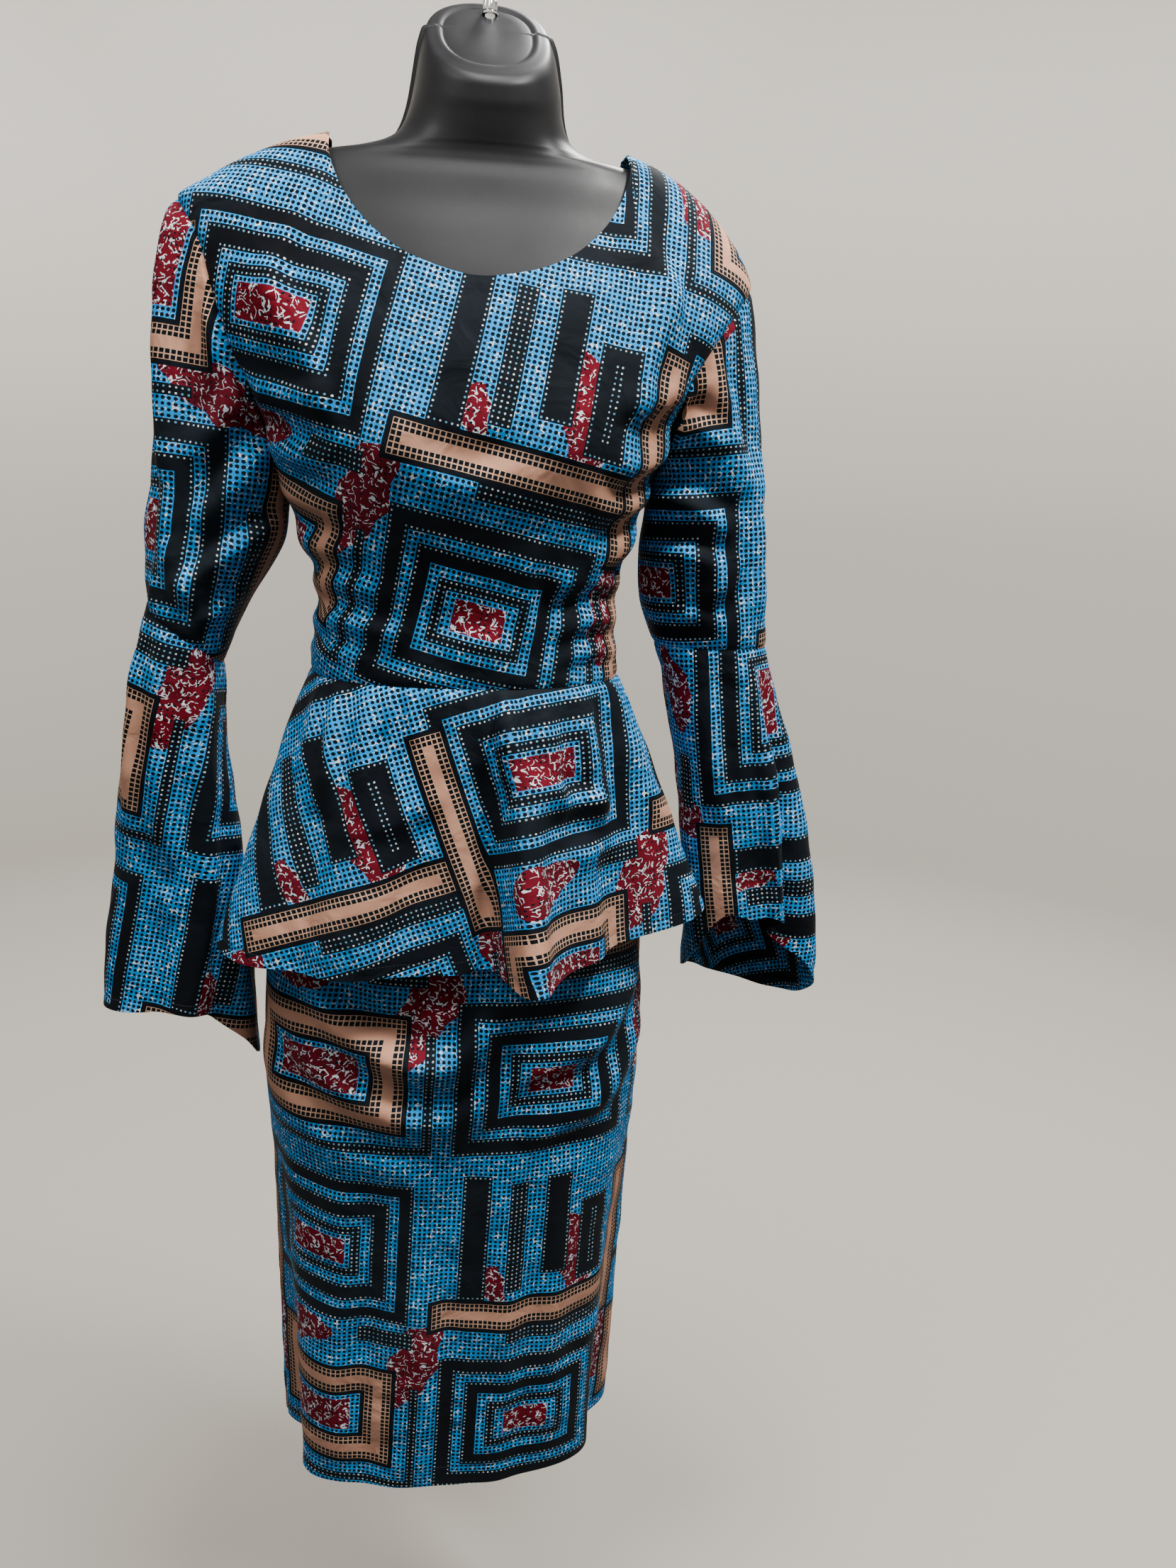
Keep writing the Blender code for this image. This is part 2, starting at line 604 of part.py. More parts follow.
def make_hook(material):
    """A straight stem that bends sideways into the bow. The inside of the bow's top is at the origin."""
    radius = HOOK_INNER_RADIUS + WIRE_RADIUS
    middle = -HOOK_INNER_RADIUS
    turns = np.linspace(HOOK_START, HOOK_END, HOOK_POINTS)
    bow = [(radius * math.cos(a), 0.0, middle + radius * math.sin(a)) for a in turns]
    bow_x, _, bow_z = bow[0]
    corner = bow_z - bow_x * math.cos(HOOK_START) / -math.sin(HOOK_START)
    foot = cap_height() - SOCKET_DEPTH + SEAM_GAP
    route = [(0.0, 0.0, foot)]
    for s in np.linspace(0, 1, 7)[:-1]:
        route.append((s**2 * bow_x, 0.0, (1 - s) ** 2 * STEM_TOP + 2 * s * (1 - s) * corner + s**2 * bow_z))
    curve = bpy.data.curves.new("hook", "CURVE")
    curve.dimensions = "3D"
    curve.bevel_depth = WIRE_RADIUS
    curve.bevel_resolution = 2
    curve.use_fill_caps = True
    curve.materials.append(material)
    spline = curve.splines.new("POLY")
    route += bow
    spline.points.add(len(route) - 1)
    for point, place in zip(spline.points, route):
        point.co = (*place, 1.0)
    hook = bpy.data.objects.new("hook", curve)
    bpy.context.scene.collection.objects.link(hook)


def main():
    clear_scene()
    cloth = finish("wax_print", (0.045, 0.33, 0.55), 0.78)
    plastic = finish("black_plastic", (0.028, 0.028, 0.031), 0.42)
    steel = finish("bright_steel", (0.62, 0.62, 0.64), 0.28, 1.0)
    armholes = make_bodice(cloth)
    right_sleeve = (RIGHT_ARM, RIGHT_ELBOW, RIGHT_HEAD_SLOPE, RIGHT_HEM, RIGHT_HEM_BUMPS, RIGHT_BELL_FOLDS)
    left_sleeve = (LEFT_ARM, LEFT_ELBOW, LEFT_HEAD_SLOPE, LEFT_HEM, LEFT_HEM_BUMPS, LEFT_BELL_FOLDS)
    make_sleeve(-1, armholes[-1], *right_sleeve, cloth)
    make_sleeve(1, armholes[1], *left_sleeve, cloth)
    make_peplum(cloth)
    make_skirt(cloth)
    make_form(plastic)
    make_hook(steel)


main()
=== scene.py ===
"""Peplum dress of ankara wax print on a black hanging form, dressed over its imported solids.

+Z is up, the front faces -Y, and the origin is inside the top of the hook, on its rail. Single sizes are
in metres, and tables in millimetres and degrees. They are measured from the middle of the waist seam,
which lies at WAIST. Right and left are the wearer's, so the right sleeve is at -X. Directions go round
from the front, 0, towards +X.
"""

import functools
import math

import bpy
import mathutils
import numpy as np
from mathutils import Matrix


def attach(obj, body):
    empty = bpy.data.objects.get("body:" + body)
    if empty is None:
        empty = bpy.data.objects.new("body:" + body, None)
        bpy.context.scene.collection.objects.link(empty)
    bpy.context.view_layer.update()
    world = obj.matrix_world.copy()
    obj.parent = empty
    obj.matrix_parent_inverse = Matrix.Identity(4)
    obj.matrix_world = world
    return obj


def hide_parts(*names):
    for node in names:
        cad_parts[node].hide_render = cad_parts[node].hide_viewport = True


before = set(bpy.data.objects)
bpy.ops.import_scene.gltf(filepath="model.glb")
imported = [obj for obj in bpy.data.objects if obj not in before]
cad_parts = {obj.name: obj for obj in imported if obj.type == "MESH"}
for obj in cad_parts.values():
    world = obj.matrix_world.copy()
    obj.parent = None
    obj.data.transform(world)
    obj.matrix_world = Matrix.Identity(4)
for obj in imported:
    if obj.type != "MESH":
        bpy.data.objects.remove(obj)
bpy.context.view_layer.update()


# The hanging form: a woman's torso moulded in black satin plastic. Its two halves meet in a thin
# proud edge down each side, and a slanted cap closes its neck. The dress hangs from its shoulders.
WAIST = np.array((-0.0160, -0.0220, -0.6220))
SQUARENESS = 2.3


def in_metres(*rows):
    """A table written in millimetres and thousandths."""
    return np.array(rows) / 1000


# Height, half width, depth to the front, depth to the back, rise towards the back, place of its middle
FORM = in_metres(
    (-350, 146, 90, 48, 0, -2),
    (-344, 156, 99, 54, 0, -2),
    (-320, 162, 105, 59, 0, -2),
    (-260, 161, 105, 62, 0, -2),
    (-180, 153, 101, 62, 0, -1.5),
    (-90, 138, 97, 61, 0, 0),
    (0, 124, 97, 60, 0, 1.5),
    (60, 122, 99, 60, 0, 2.5),
    (110, 131, 111, 64, 0, 3.5),
    (155, 143, 120, 67, 0, 4.2),
    (195, 153, 123, 69, 0, 5),
    (235, 163, 118, 69, 0, 5.6),
    (275, 172, 106, 68, 0, 6.3),
    (315, 180, 90, 64, 0, 7),
    (350, 183, 74, 57, 0, 7.6),
    (376, 178, 62, 50, 0, 8),
    (394, 168, 55, 45, 0, 8.3),
    (407, 152, 49.8, 42, 0, 8.5),
    (413, 132, 48.8, 40, 0, 8.6),
    (416.5, 108, 48.8, 40, 0, 8.8),
    (422, 86, 49.5, 40, 20, 10),
    (433, 69, 51, 41, 80, 11.7),
    (451, 61.5, 52.5, 44, 240, 12.8),
    (475, 57.5, 54, 46, 500, 14),
    (497, 53, 54, 46.5, 740, 14),
    (507, 48, 50.5, 43, 830, 13.5),
    (509, 41.5, 45, 38, 850, 13.5),
)
# The bust: distance from the middle, height, fullness, spread sideways, spread upwards
BUST = (0.074, 0.190, 0.012, 0.034, 0.040)
FORM_COLUMNS = 132
RIM = 0.0032
RIM_DIRECTION = math.radians(96)
RIM_WIDTH = 0.030
RIM_ROUND = 0.075
# Under the dress the form stands back by this much, so that the finer cloth clears it
FORM_SHY = 0.0006
# The cap, from its edge to its middle: share of its size, height above its slanted plane
CAP = in_metres(
    (975, 0.3), (940, 0.4), (905, 0.1), (880, -0.6), (855, -0.9),
    (830, -0.6), (790, 0), (600, 0.6), (300, 0.9),
)


def smooth_way(s, start, leave, end, arrive):
    """A smooth curve from a start to an end, by the way that it leaves the one and arrives at the other."""
    return (
        (2 * s**3 - 3 * s**2 + 1) * start
        + (s**3 - 2 * s**2 + s) * leave
        + (3 * s**2 - 2 * s**3) * end
        + (s**3 - s**2) * arrive
    )


def read_table(table, at):
    """The columns after the first, read at these places on smooth curves that don't overshoot the rows."""
    rows = np.array(table, float)
    rows = rows[rows[:, 0].argsort()]
    known, values = rows[:, 0], rows[:, 1:]
    at = np.clip(np.asarray(at, float), known[0], known[-1])
    slopes = np.diff(values, axis=0) / np.diff(known)[:, None]
    tangents = np.zeros_like(values)
    tangents[0], tangents[-1] = slopes[0], slopes[-1]
    before, after = slopes[:-1], slopes[1:]
    same_way = before * after > 0
    total = np.where(same_way, before + after, 1.0)
    tangents[1:-1] = np.where(same_way, 2 * before * after / total, 0.0)
    i = np.clip(np.searchsorted(known, at) - 1, 0, len(known) - 2)
    step = (known[i + 1] - known[i])[..., None]
    s = (at - known[i])[..., None] / step
    found = smooth_way(s, values[i], step * tangents[i], values[i + 1], step * tangents[i + 1])
    return np.moveaxis(found, -1, 0)


def hump(away, spread):
    """A soft bump of height 1, this far away from its middle."""
    return np.exp(-((away / spread) ** 2))


def turned(angle):
    """An angle brought to between minus and plus half a turn."""
    return (angle + math.pi) % (2 * math.pi) - math.pi


def section(angle, half_width, front, back, rise=0.0):
    """A rounded level section: 0 is the front and a right angle is the +X side."""
    depth = np.where(np.cos(angle) > 0, front, back)
    across = (np.abs(np.sin(angle)) / half_width) ** SQUARENESS
    along = (np.abs(np.cos(angle)) / depth) ** SQUARENESS
    radius = (across + along) ** (-1 / SQUARENESS) + rise
    return radius * np.sin(angle), -radius * np.cos(angle)


def bust_rise(x, height):
    apart, level, fullness, wide, tall = BUST
    sides = hump(x - apart, wide) + hump(x + apart, wide)
    return fullness * sides * hump(height - level, tall)


def placed(name, data):
    """A new object with this data, put in the scene."""
    obj = bpy.data.objects.new(name, data)
    bpy.context.scene.collection.objects.link(obj)
    return obj


def piece_of(name, points, corners, material, places=None, ends=()):
    """A piece from its points in the waist's frame, its four-cornered faces, and any many-cornered ends."""
    faces = [tuple(f) for f in np.asarray(corners).tolist()] + [tuple(e) for e in ends]
    mesh = bpy.data.meshes.new(name)
    mesh.from_pydata((np.asarray(points).reshape(-1, 3) + WAIST).tolist(), [], faces)
    if places is not None:
        layer = mesh.uv_layers.new(name="cut")
        layer.uv.foreach_set("vector", np.asarray(places, np.float32).ravel())
    mesh.materials.append(material)
    mesh.shade_smooth()
    mesh.set_sharp_from_angle(angle=math.radians(50))
    return placed(name, mesh)


def ring_corners(rows, columns):
    """The faces between closed rings of points, whose rows go up and whose columns go round to +X."""
    i, j = np.meshgrid(np.arange(rows - 1), np.arange(columns), indexing="ij")
    k = (j + 1) % columns
    quad = [i * columns + j, i * columns + k, (i + 1) * columns + k, (i + 1) * columns + j]
    return np.stack(quad, axis=-1).reshape(-1, 4)


def stand_in(piece, node):
    """Puts a finished piece in its solid's place, on the one body."""
    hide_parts(node)
    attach(piece, "root")


def feed(tree, node, inputs):
    """Sets a node's inputs, each to a number or colour or to another node's output."""
    for name, value in inputs.items():
        if isinstance(value, bpy.types.NodeSocket):
            tree.links.new(value, node.inputs[name])
        else:
            node.inputs[name].default_value = value


def adder(tree, family="ShaderNode"):
    """A short way to add a node to a tree: its kind, the output wanted, what it is fed, its settings."""

    def add(kind, wanted, inputs, **settings):
        node = tree.nodes.new(family + kind)
        for name, value in settings.items():
            setattr(node, name, value)
        feed(tree, node, inputs)
        return node.outputs if wanted is None else node.outputs[wanted]

    return add


def mixed(add, mask, under, over):
    """One colour laid over another where a mask is 1."""
    under, over = [(*c, 1.0) if isinstance(c, tuple) else c for c in (under, over)]
    return add("Mix", 2, {"Factor": mask, 6: under, 7: over}, data_type="RGBA")


def ranged(add, value, *ends, **settings):
    """A value brought from between the first two ends to between the last two."""
    names = ("From Min", "From Max", "To Min", "To Max")
    return add("MapRange", "Result", {"Value": value, **dict(zip(names, ends))}, **settings)


def material_of(name, finish):
    """A new material. finish adds its nodes, and gives what its Principled shader is fed."""
    material = bpy.data.materials.new(name)
    material.use_nodes = True
    tree = material.node_tree
    feed(tree, tree.nodes["Principled BSDF"], finish(adder(tree)))
    return material


def satin_plastic(add):
    """Black moulded plastic: dark grey, a fine orange-peel grain and faint rubs that dull its gloss."""
    place = add("TexCoord", "Object", {})
    peel = add("TexNoise", "Fac", {"Vector": place, "Scale": 900.0, "Detail": 2.0})
    rubs = add("TexNoise", "Fac", {"Vector": place, "Scale": 14.0, "Detail": 5.0, "Roughness": 0.6})
    return {
        "Base Color": mixed(add, rubs, (0.009, 0.009, 0.010), (0.017, 0.017, 0.018)),
        "Roughness": ranged(add, rubs, 0.35, 0.70, 0.36, 0.48),
        "Normal": add("Bump", "Normal", {"Height": peel, "Strength": 0.10, "Distance": 0.0004}),
        "Specular IOR Level": 0.14,
    }


def make_form():
    table = [(index, *row) for index, row in enumerate(FORM)]
    level = np.linspace(0, len(FORM) - 1, 6 * (len(FORM) - 1) + 1)
    height, half_width, front, back, tilt, middle = read_table(table, level)[..., None]
    even = np.arange(FORM_COLUMNS) * 2 * math.pi / FORM_COLUMNS
    steps = np.linspace(-RIM_ROUND, RIM_ROUND, 13)
    rims = [side * (RIM_DIRECTION + step) for side in (1, -1) for step in steps]
    plain = [a for a in turned(even) if abs(abs(a) - RIM_DIRECTION) > RIM_ROUND + 0.020]
    angle = np.array(sorted(plain + rims))[None, :]
    away = np.abs(np.abs(angle) - RIM_DIRECTION) / RIM_WIDTH
    rim = RIM * (1 - np.clip(away, 0, 1) ** 6) * (away < 1)
    shy = FORM_SHY * np.clip((0.420 - height) / 0.006, 0, 1)
    x, y = section(angle, half_width - shy, front - shy, back - shy, rim)
    y = y - np.where(y < 0, bust_rise(x, height), 0.0)
    rows = [np.stack([x + middle, y, height - shy + tilt * y], axis=-1)]
    edge, top, tilt, middle = rows[0][-1], FORM[-1][0], FORM[-1][4], FORM[-1][5]
    for share, above in CAP:
        x, y = share * (edge[:, 0] - middle) + middle, share * edge[:, 1]
        rows.append(np.stack([x, y, top + above + tilt * y], axis=-1)[None])
    grid = np.concatenate(rows)
    columns = grid.shape[1]
    last = (len(grid) - 1) * columns
    ends = (range(columns - 1, -1, -1), range(last, last + columns))
    plastic = material_of("black satin plastic", satin_plastic)
    form = piece_of("hanging_form", grid, ring_corners(len(grid), columns), plastic, ends=ends)
    stand_in(form, "form")


make_form()


# The hook: one bright steel wire, bent over into a bow that goes over the rail, with its foot held in
# the neck cap by a small turned collar.
WIRE_RADIUS = 0.0020
HOOK_INNER_RADIUS = 0.0170
HOOK_START = math.radians(-52)
HOOK_END = math.radians(196)
STEM_TOP = -0.0560
WIRE_COLUMNS = 20
COLLAR_COLUMNS = 48
SOCKET_DEPTH = 0.0120
# The collar, from its foot up: height above the cap, radius
COLLAR = in_metres(
    (-6, 4.6), (1, 4.6), (1.2, 6.2), (2.6, 6.4), (3, 5.2), (3.6, 5), (4, 6), (9.8, 6), (10.4, 5.6),
    (10.8, 4), (12.4, 3.4), (12.8, 2.1),
)


def bright_steel(add):
    """Chromed wire: near mirror-bright, dulled a little in patches, with fine lengthwise scratches."""
    place = add("TexCoord", "Object", {})
    drawn = add("Mapping", "Vector", {"Vector": place, "Scale": (1.0, 1.0, 0.06)})
    scratch = add("TexNoise", "Fac", {"Vector": drawn, "Scale": 2600.0})
    dull = add("TexNoise", "Fac", {"Vector": place, "Scale": 70.0, "Detail": 3.0})
    return {
        "Base Color": (0.66, 0.66, 0.68, 1.0),
        "Metallic": 1.0,
        "Roughness": ranged(add, dull, 0.3, 0.75, 0.10, 0.26),
        "Normal": add("Bump", "Normal", {"Height": scratch, "Strength": 0.06, "Distance": 0.0001}),
    }


def make_hook():
    radius = HOOK_INNER_RADIUS + WIRE_RADIUS
    bow_x = radius * math.cos(HOOK_START)
    bow_z = -HOOK_INNER_RADIUS + radius * math.sin(HOOK_START)
    corner = bow_z + bow_x * math.cos(HOOK_START) / math.sin(HOOK_START)
    cap = WAIST[2] + FORM[-1][0] - FORM[-1][4] * WAIST[1]
    route = [(0.0, 0.0, z) for z in np.linspace(cap - SOCKET_DEPTH + 0.0006, STEM_TOP, 12)[:-1]]
    for s in np.linspace(0, 1, 13)[:-1]:
        height = (1 - s) ** 2 * STEM_TOP + 2 * s * (1 - s) * corner + s**2 * bow_z
        route.append((s**2 * bow_x, 0.0, height))
    for a in np.linspace(HOOK_START, HOOK_END, 64):
        route.append((radius * math.cos(a), 0.0, -HOOK_INNER_RADIUS + radius * math.sin(a)))
    route = np.array(route)
    way = np.gradient(route, axis=0)
    way /= np.linalg.norm(way, axis=1, keepdims=True)
    thick = np.full(len(route), WIRE_RADIUS)
    thick[0], thick[-1] = WIRE_RADIUS * 0.7, WIRE_RADIUS * 0.55
    route[-1] += way[-1] * WIRE_RADIUS * 0.25
    side = np.array((0.0, 1.0, 0.0))
    across = np.cross(side, way)[:, None]
    turn = np.arange(WIRE_COLUMNS)[None, :, None] * 2 * math.pi / WIRE_COLUMNS
    wire = route[:, None] + thick[:, None, None] * (np.cos(turn) * across + np.sin(turn) * side)
    turn = np.arange(COLLAR_COLUMNS) * 2 * math.pi / COLLAR_COLUMNS
    at, spread = COLLAR.T[:, :, None]
    spread = spread + ((at > 0.0038) & (at < 0.0100)) * (0.0004 - 0.0009 * np.cos(3 * turn) ** 2)
    collar = np.stack([spread * np.cos(turn), spread * np.sin(turn), at + cap + 0 * turn], axis=-1)
    points, corners, ends, first = [], [], [], 0
    for rings in (wire, collar):
        rows, columns = rings.shape[:2]
        last = first + (rows - 1) * columns
        points.append(rings.reshape(-1, 3) - WAIST)
        corners.append(first + ring_corners(rows, columns))
        ends += [range(first + columns - 1, first - 1, -1), range(last, last + columns)]
        first = last + columns
    points, corners = np.concatenate(points), np.concatenate(corners)
    steel = material_of("bright steel", bright_steel)
    hook = piece_of("steel_hook", points, corners, steel, ends=ends)
    stand_in(hook, "hook")


make_hook()


# The cloth: one printed cotton for the whole dress. Every motif of its print sits on a grid of small
# cells: a dotted blue ground with white flecks, navy bands edged with dots, tan bands netted in black,
# and maroon patches. Each piece carries the places of its flat cut, in metres, and the print follows them.
CELL = 0.0044
PRINT_TILE = (96, 84)
# The motifs, in cells. Nested squares and bars of navy: middle, half size, how far up they go from their
# middle, then the bands from the edge inwards: start, end
NAVY_SHAPES = (
    ((22, 19), (20, 17), 99, ((0, 4), (6, 9), (11, 13))),
    ((70, 62), (21, 17), 99, ((0, 3), (5, 9), (11, 13))),
    ((70, 20), (24, 18), 9, ((0, 2),)),
    ((8, 66), (3, 15), 99, ((0, 3),)),
    ((17, 66), (2, 13), 99, ((0, 2),)),
    ((26, 68), (3, 12), 99, ((0, 3),)),
    ((36, 62), (4, 10), 99, ((0, 4),)),
    ((30, 42), (14, 2), 99, ((0, 2),)),
    ((86, 41), (6, 2), 99, ((0, 2),)),
)
# Tan bands between two nets: middle, half size, and the depth of a frame, or 0 for a bar
TAN_SHAPES = (
    ((70, 20), (19, 13), 8),
    ((48, 54), (4, 21), 0),
    ((22, 47), (23, 4), 0),
)
# Maroon ovals: middle, half size, degrees turned
MAROON_OVALS = (
    ((30, 60), (4.6, 12), 20),
    ((92, 34), (5, 12), -22),
    ((49, 24), (4.2, 11), 8),
    ((66, 40), (9, 4), 14),
    ((12, 55), (4, 5), 0),
)
# Maroon patches: middle, half size
MAROON_PATCHES = (
    ((70, 20), (9, 4)),
    ((22, 19), (5, 3)),
    ((70, 62), (7, 3)),
)
INKS = {
    "Blue": (0.000, 0.275, 0.680),
    "Navy": (0.0020, 0.0026, 0.0045),
    "Tan": (0.600, 0.305, 0.200),
    "Maroon": (0.135, 0.0015, 0.0090),
    "Fleck": (0.72, 0.80, 0.84),
}
PALE_BLUE = (0.12, 0.36, 0.52)
DARK_TAN = (0.50, 0.245, 0.155)
NET_TAN = (0.55, 0.32, 0.20)
WORN = (0.10, 0.16, 0.20)
# A dot's radius in its cell, and how much larger some are
GROUND_DOT = (0.24, 0.20)
BAND_DOT = (0.13, 0.10)
NET_SQUARE = 0.385
# White strokes on the ground and on the maroon: scale, width, shift of their noise, how much is broken away
GROUND_FLECKS = ((0.80, 0.044, 0.0, 0.56), (0.62, 0.034, 57.0, 0.60))
MAROON_STREAKS = ((0.72, 0.056, 120.0, 0.53), (0.55, 0.040, 160.0, 0.58))
THREADS = 2600.0


def maths(add, *kinds):
    """Short ways to add Math nodes, one for each kind of sum, called with their values."""

    def way(kind):
        return lambda *values: add("Math", 0, dict(enumerate(values)), operation=kind)

    return [way(kind) for kind in kinds]


def new_group(name, inputs, outputs, family="Shader"):
    """An empty node group with these named sockets, the outputs of its input node, and its output node."""
    tree = bpy.data.node_groups.new(name, family + "NodeTree")
    for way, sockets in (("INPUT", inputs), ("OUTPUT", outputs)):
        for label, kind in sockets:
            tree.interface.new_socket(label, in_out=way, socket_type="NodeSocket" + kind)
    return tree, tree.nodes.new("NodeGroupInput").outputs, tree.nodes.new("NodeGroupOutput")


def wax_print_group():
    """The print: in, a place on the cut, the cell's size and the inks; out, its colour and dark ink."""
    inputs = [("Place", "Vector"), ("Cells per metre", "Float")] + [(ink, "Color") for ink in INKS]
    tree, given, result = new_group("wax print", inputs, [("Colour", "Color"), ("Ink", "Float")])
    add = adder(tree)
    plus, minus, times, over = maths(add, "ADD", "SUBTRACT", "MULTIPLY", "DIVIDE")
    below, above, lesser, larger = maths(add, "LESS_THAN", "GREATER_THAN", "MINIMUM", "MAXIMUM")
    size_of, whole_of, root, wrapped, near = maths(add, "ABSOLUTE", "FLOOR", "SQRT", "WRAP", "COMPARE")
    scaled = add("VectorMath", 0, {0: given["Place"], "Scale": given["Cells per metre"]}, operation="SCALE")
    x, y, _ = add("SeparateXYZ", None, {0: scaled})
    cell = plus(whole_of(x), 0.5), plus(whole_of(y), 0.5)
    in_x, in_y = size_of(minus(x, cell[0])), size_of(minus(y, cell[1]))
    from_cell = root(plus(times(in_x, in_x), times(in_y, in_y)))

    def offset(place, middle):
        """How far a place is from the nearest repeat of a motif's middle, across and up."""
        return [wrapped(minus(p, m), size / 2, -size / 2) for p, m, size in zip(place, middle, PRINT_TILE)]

    def depth(middle, half):
        """How many cells a cell lies inside a square's edge: positive inside."""
        return lesser(*[minus(h, size_of(o)) for h, o in zip(half, offset(cell, middle))])

    def between(value, low, high):
        return near(value, (low + high) / 2, (high - low) / 2)

    def union(masks):
        return functools.reduce(larger, masks)

    def noise(scale, detail, shift, distortion=0.0):
        moved = add("VectorMath", 0, {0: scaled, 1: (shift, 1.7 * shift, 0.0)})
        fed = {"Vector": moved, "Scale": scale, "Detail": detail, "Distortion": distortion}
        return add("TexNoise", "Fac", fed, noise_dimensions="2D")

    def flecks(scale, width, shift, cover):
        """Short curved strokes: thin contours of one noise, broken up by another."""
        line = below(size_of(minus(noise(scale, 0.0, shift, 0.6), 0.5)), width)
        return times(line, above(noise(scale * 1.1, 0.0, shift + 31.0), cover))

    def dots(radius, growth):
        return below(from_cell, plus(times(size, growth), radius))

    size = noise(0.35, 1.0, 90.0)
    white = union([flecks(*stroke) for stroke in GROUND_FLECKS])
    ground = mixed(add, dots(*GROUND_DOT), mixed(add, white, given["Blue"], given["Fleck"]), given["Navy"])

    wavy = [plus(p, times(minus(noise(0.12, 1.0, shift), 0.5), 5.0)) for p, shift in ((x, 40.0), (y, 70.0))]
    ovals = []
    for middle, half, turn in MAROON_OVALS:
        ox, oy = offset(wavy, middle)
        c, s = math.cos(math.radians(turn)), math.sin(math.radians(turn))
        a = over(plus(times(ox, c), times(oy, s)), half[0])
        b = over(minus(times(oy, c), times(ox, s)), half[1])
        ovals.append(below(plus(times(a, a), times(b, b)), 1.0))
    streaks = union([flecks(*stroke) for stroke in MAROON_STREAKS])
    faint = times(below(from_cell, GROUND_DOT[0]), above(size, 0.52))
    maroon = mixed(add, faint, mixed(add, streaks, given["Maroon"], given["Fleck"]), given["Navy"])
    colour = mixed(add, union(ovals), ground, maroon)

    navy, core = [], []
    for middle, half, up_to, bands in NAVY_SHAPES:
        inside = depth(middle, half)
        if up_to < 99:
            kept = below(offset(cell, middle)[1], up_to)
            inside = minus(times(plus(inside, 99.0), kept), 99.0)
        for start, end in bands:
            navy.append(between(inside, start, end))
            if end - start > 2:
                core.append(between(inside, start + 1, end - 1 if end - start > 3 else end))
    light = times(dots(*BAND_DOT), minus(1.0, union(core)))
    pale = mixed(add, above(noise(0.9, 0.0, 210.0), 0.55), PALE_BLUE, given["Fleck"])
    navy = union(navy)
    colour = mixed(add, navy, colour, mixed(add, light, given["Navy"], pale))
    patches = union([above(depth(middle, half), 0.0) for middle, half in MAROON_PATCHES])
    colour = mixed(add, patches, colour, maroon)

    tan, net, outline = [], [], []
    for middle, half, deep in TAN_SHAPES:
        inside = depth(middle, half)
        net.append(between(inside, 1, 3))
        outline.append(between(inside, 0, 1))
        if deep:
            tan.append(between(inside, 1, deep - 1))
            net.append(between(inside, deep - 3, deep - 1))
            outline.append(between(inside, deep - 1, deep))
        else:
            tan.append(above(inside, 1.0))
    shaded = mixed(add, noise(0.09, 3.0, 11.0), given["Tan"], DARK_TAN)
    netted = mixed(add, below(larger(in_x, in_y), NET_SQUARE), NET_TAN, given["Navy"])
    for masks, laid in ((tan, shaded), (net, netted), (outline, given["Navy"])):
        colour = mixed(add, union(masks), colour, laid)
    feed(tree, result, {"Colour": colour, "Ink": times(navy, minus(1.0, light))})
    return tree


def weave_group():
    """Plain weave: in, a place on the cloth and the threads per metre; out, the threads' height."""
    inputs = [("Place", "Vector"), ("Threads per metre", "Float")]
    tree, given, result = new_group("plain weave", inputs, [("Height", "Float")])
    add = adder(tree)
    plus, times, sine = maths(add, "ADD", "MULTIPLY", "SINE")
    x, y, _ = add("SeparateXYZ", None, {0: given["Place"]})
    turns = times(given["Threads per metre"], math.pi)
    crossing = times(sine(times(x, turns)), sine(times(y, turns)))
    fed = {"Vector": given["Place"], "Scale": 700.0, "Detail": 2.0}
    slub = add("TexNoise", "Fac", fed, noise_dimensions="2D")
    feed(tree, result, {"Height": plus(times(crossing, 0.5), slub)})
    return tree


def wax_print_cotton(add):
    """Crisp printed cotton, a little waxy on its dark bands, slightly faded and rubbed in places."""
    minus, times = maths(add, "SUBTRACT", "MULTIPLY")
    cut = add("UVMap", "UV", {}, uv_map="cut")
    place = add("TexCoord", "Object", {})
    fed = {"Place": cut, "Cells per metre": 1 / CELL}
    fed.update({ink: (*colour, 1.0) for ink, colour in INKS.items()})
    printed = add("Group", None, fed, node_tree=wax_print_group())
    faded = add("TexNoise", "Fac", {"Vector": place, "Scale": 7.0, "Detail": 4.0})
    wear = ranged(add, faded, 0.3, 0.8, 0.0, 0.07)
    weave = add("Group", "Height", {"Place": cut, "Threads per metre": THREADS}, node_tree=weave_group())
    fed = {"Vector": place, "Scale": 26.0, "Detail": 3.0, "Roughness": 0.42, "Distortion": 1.2}
    crumple = add("TexNoise", "Fac", fed)
    rumpled = add("Bump", "Normal", {"Height": crumple, "Strength": 0.55, "Distance": 0.0060})
    fed = {"Height": weave, "Strength": 0.18, "Distance": 0.0003, "Normal": rumpled}
    return {
        "Base Color": mixed(add, wear, printed["Colour"], WORN),
        "Roughness": minus(0.84, times(printed["Ink"], 0.14)),
        "Normal": add("Bump", "Normal", fed),
        "Specular IOR Level": 0.05,
        "Sheen Weight": 0.01,
        "Sheen Roughness": 0.5,
    }


# The bodice: printed cotton in a front and two backs, with a wide scoop neck and set-in sleeves. It is
# sewn at the shoulders, the sides and down the middle of the back, and fits close over the form.
CLOTH = 0.0012
SEAM_GAP = 0.0003
SEAM_DEPTH = 0.0013
SEAM_WIDTH = 0.0030
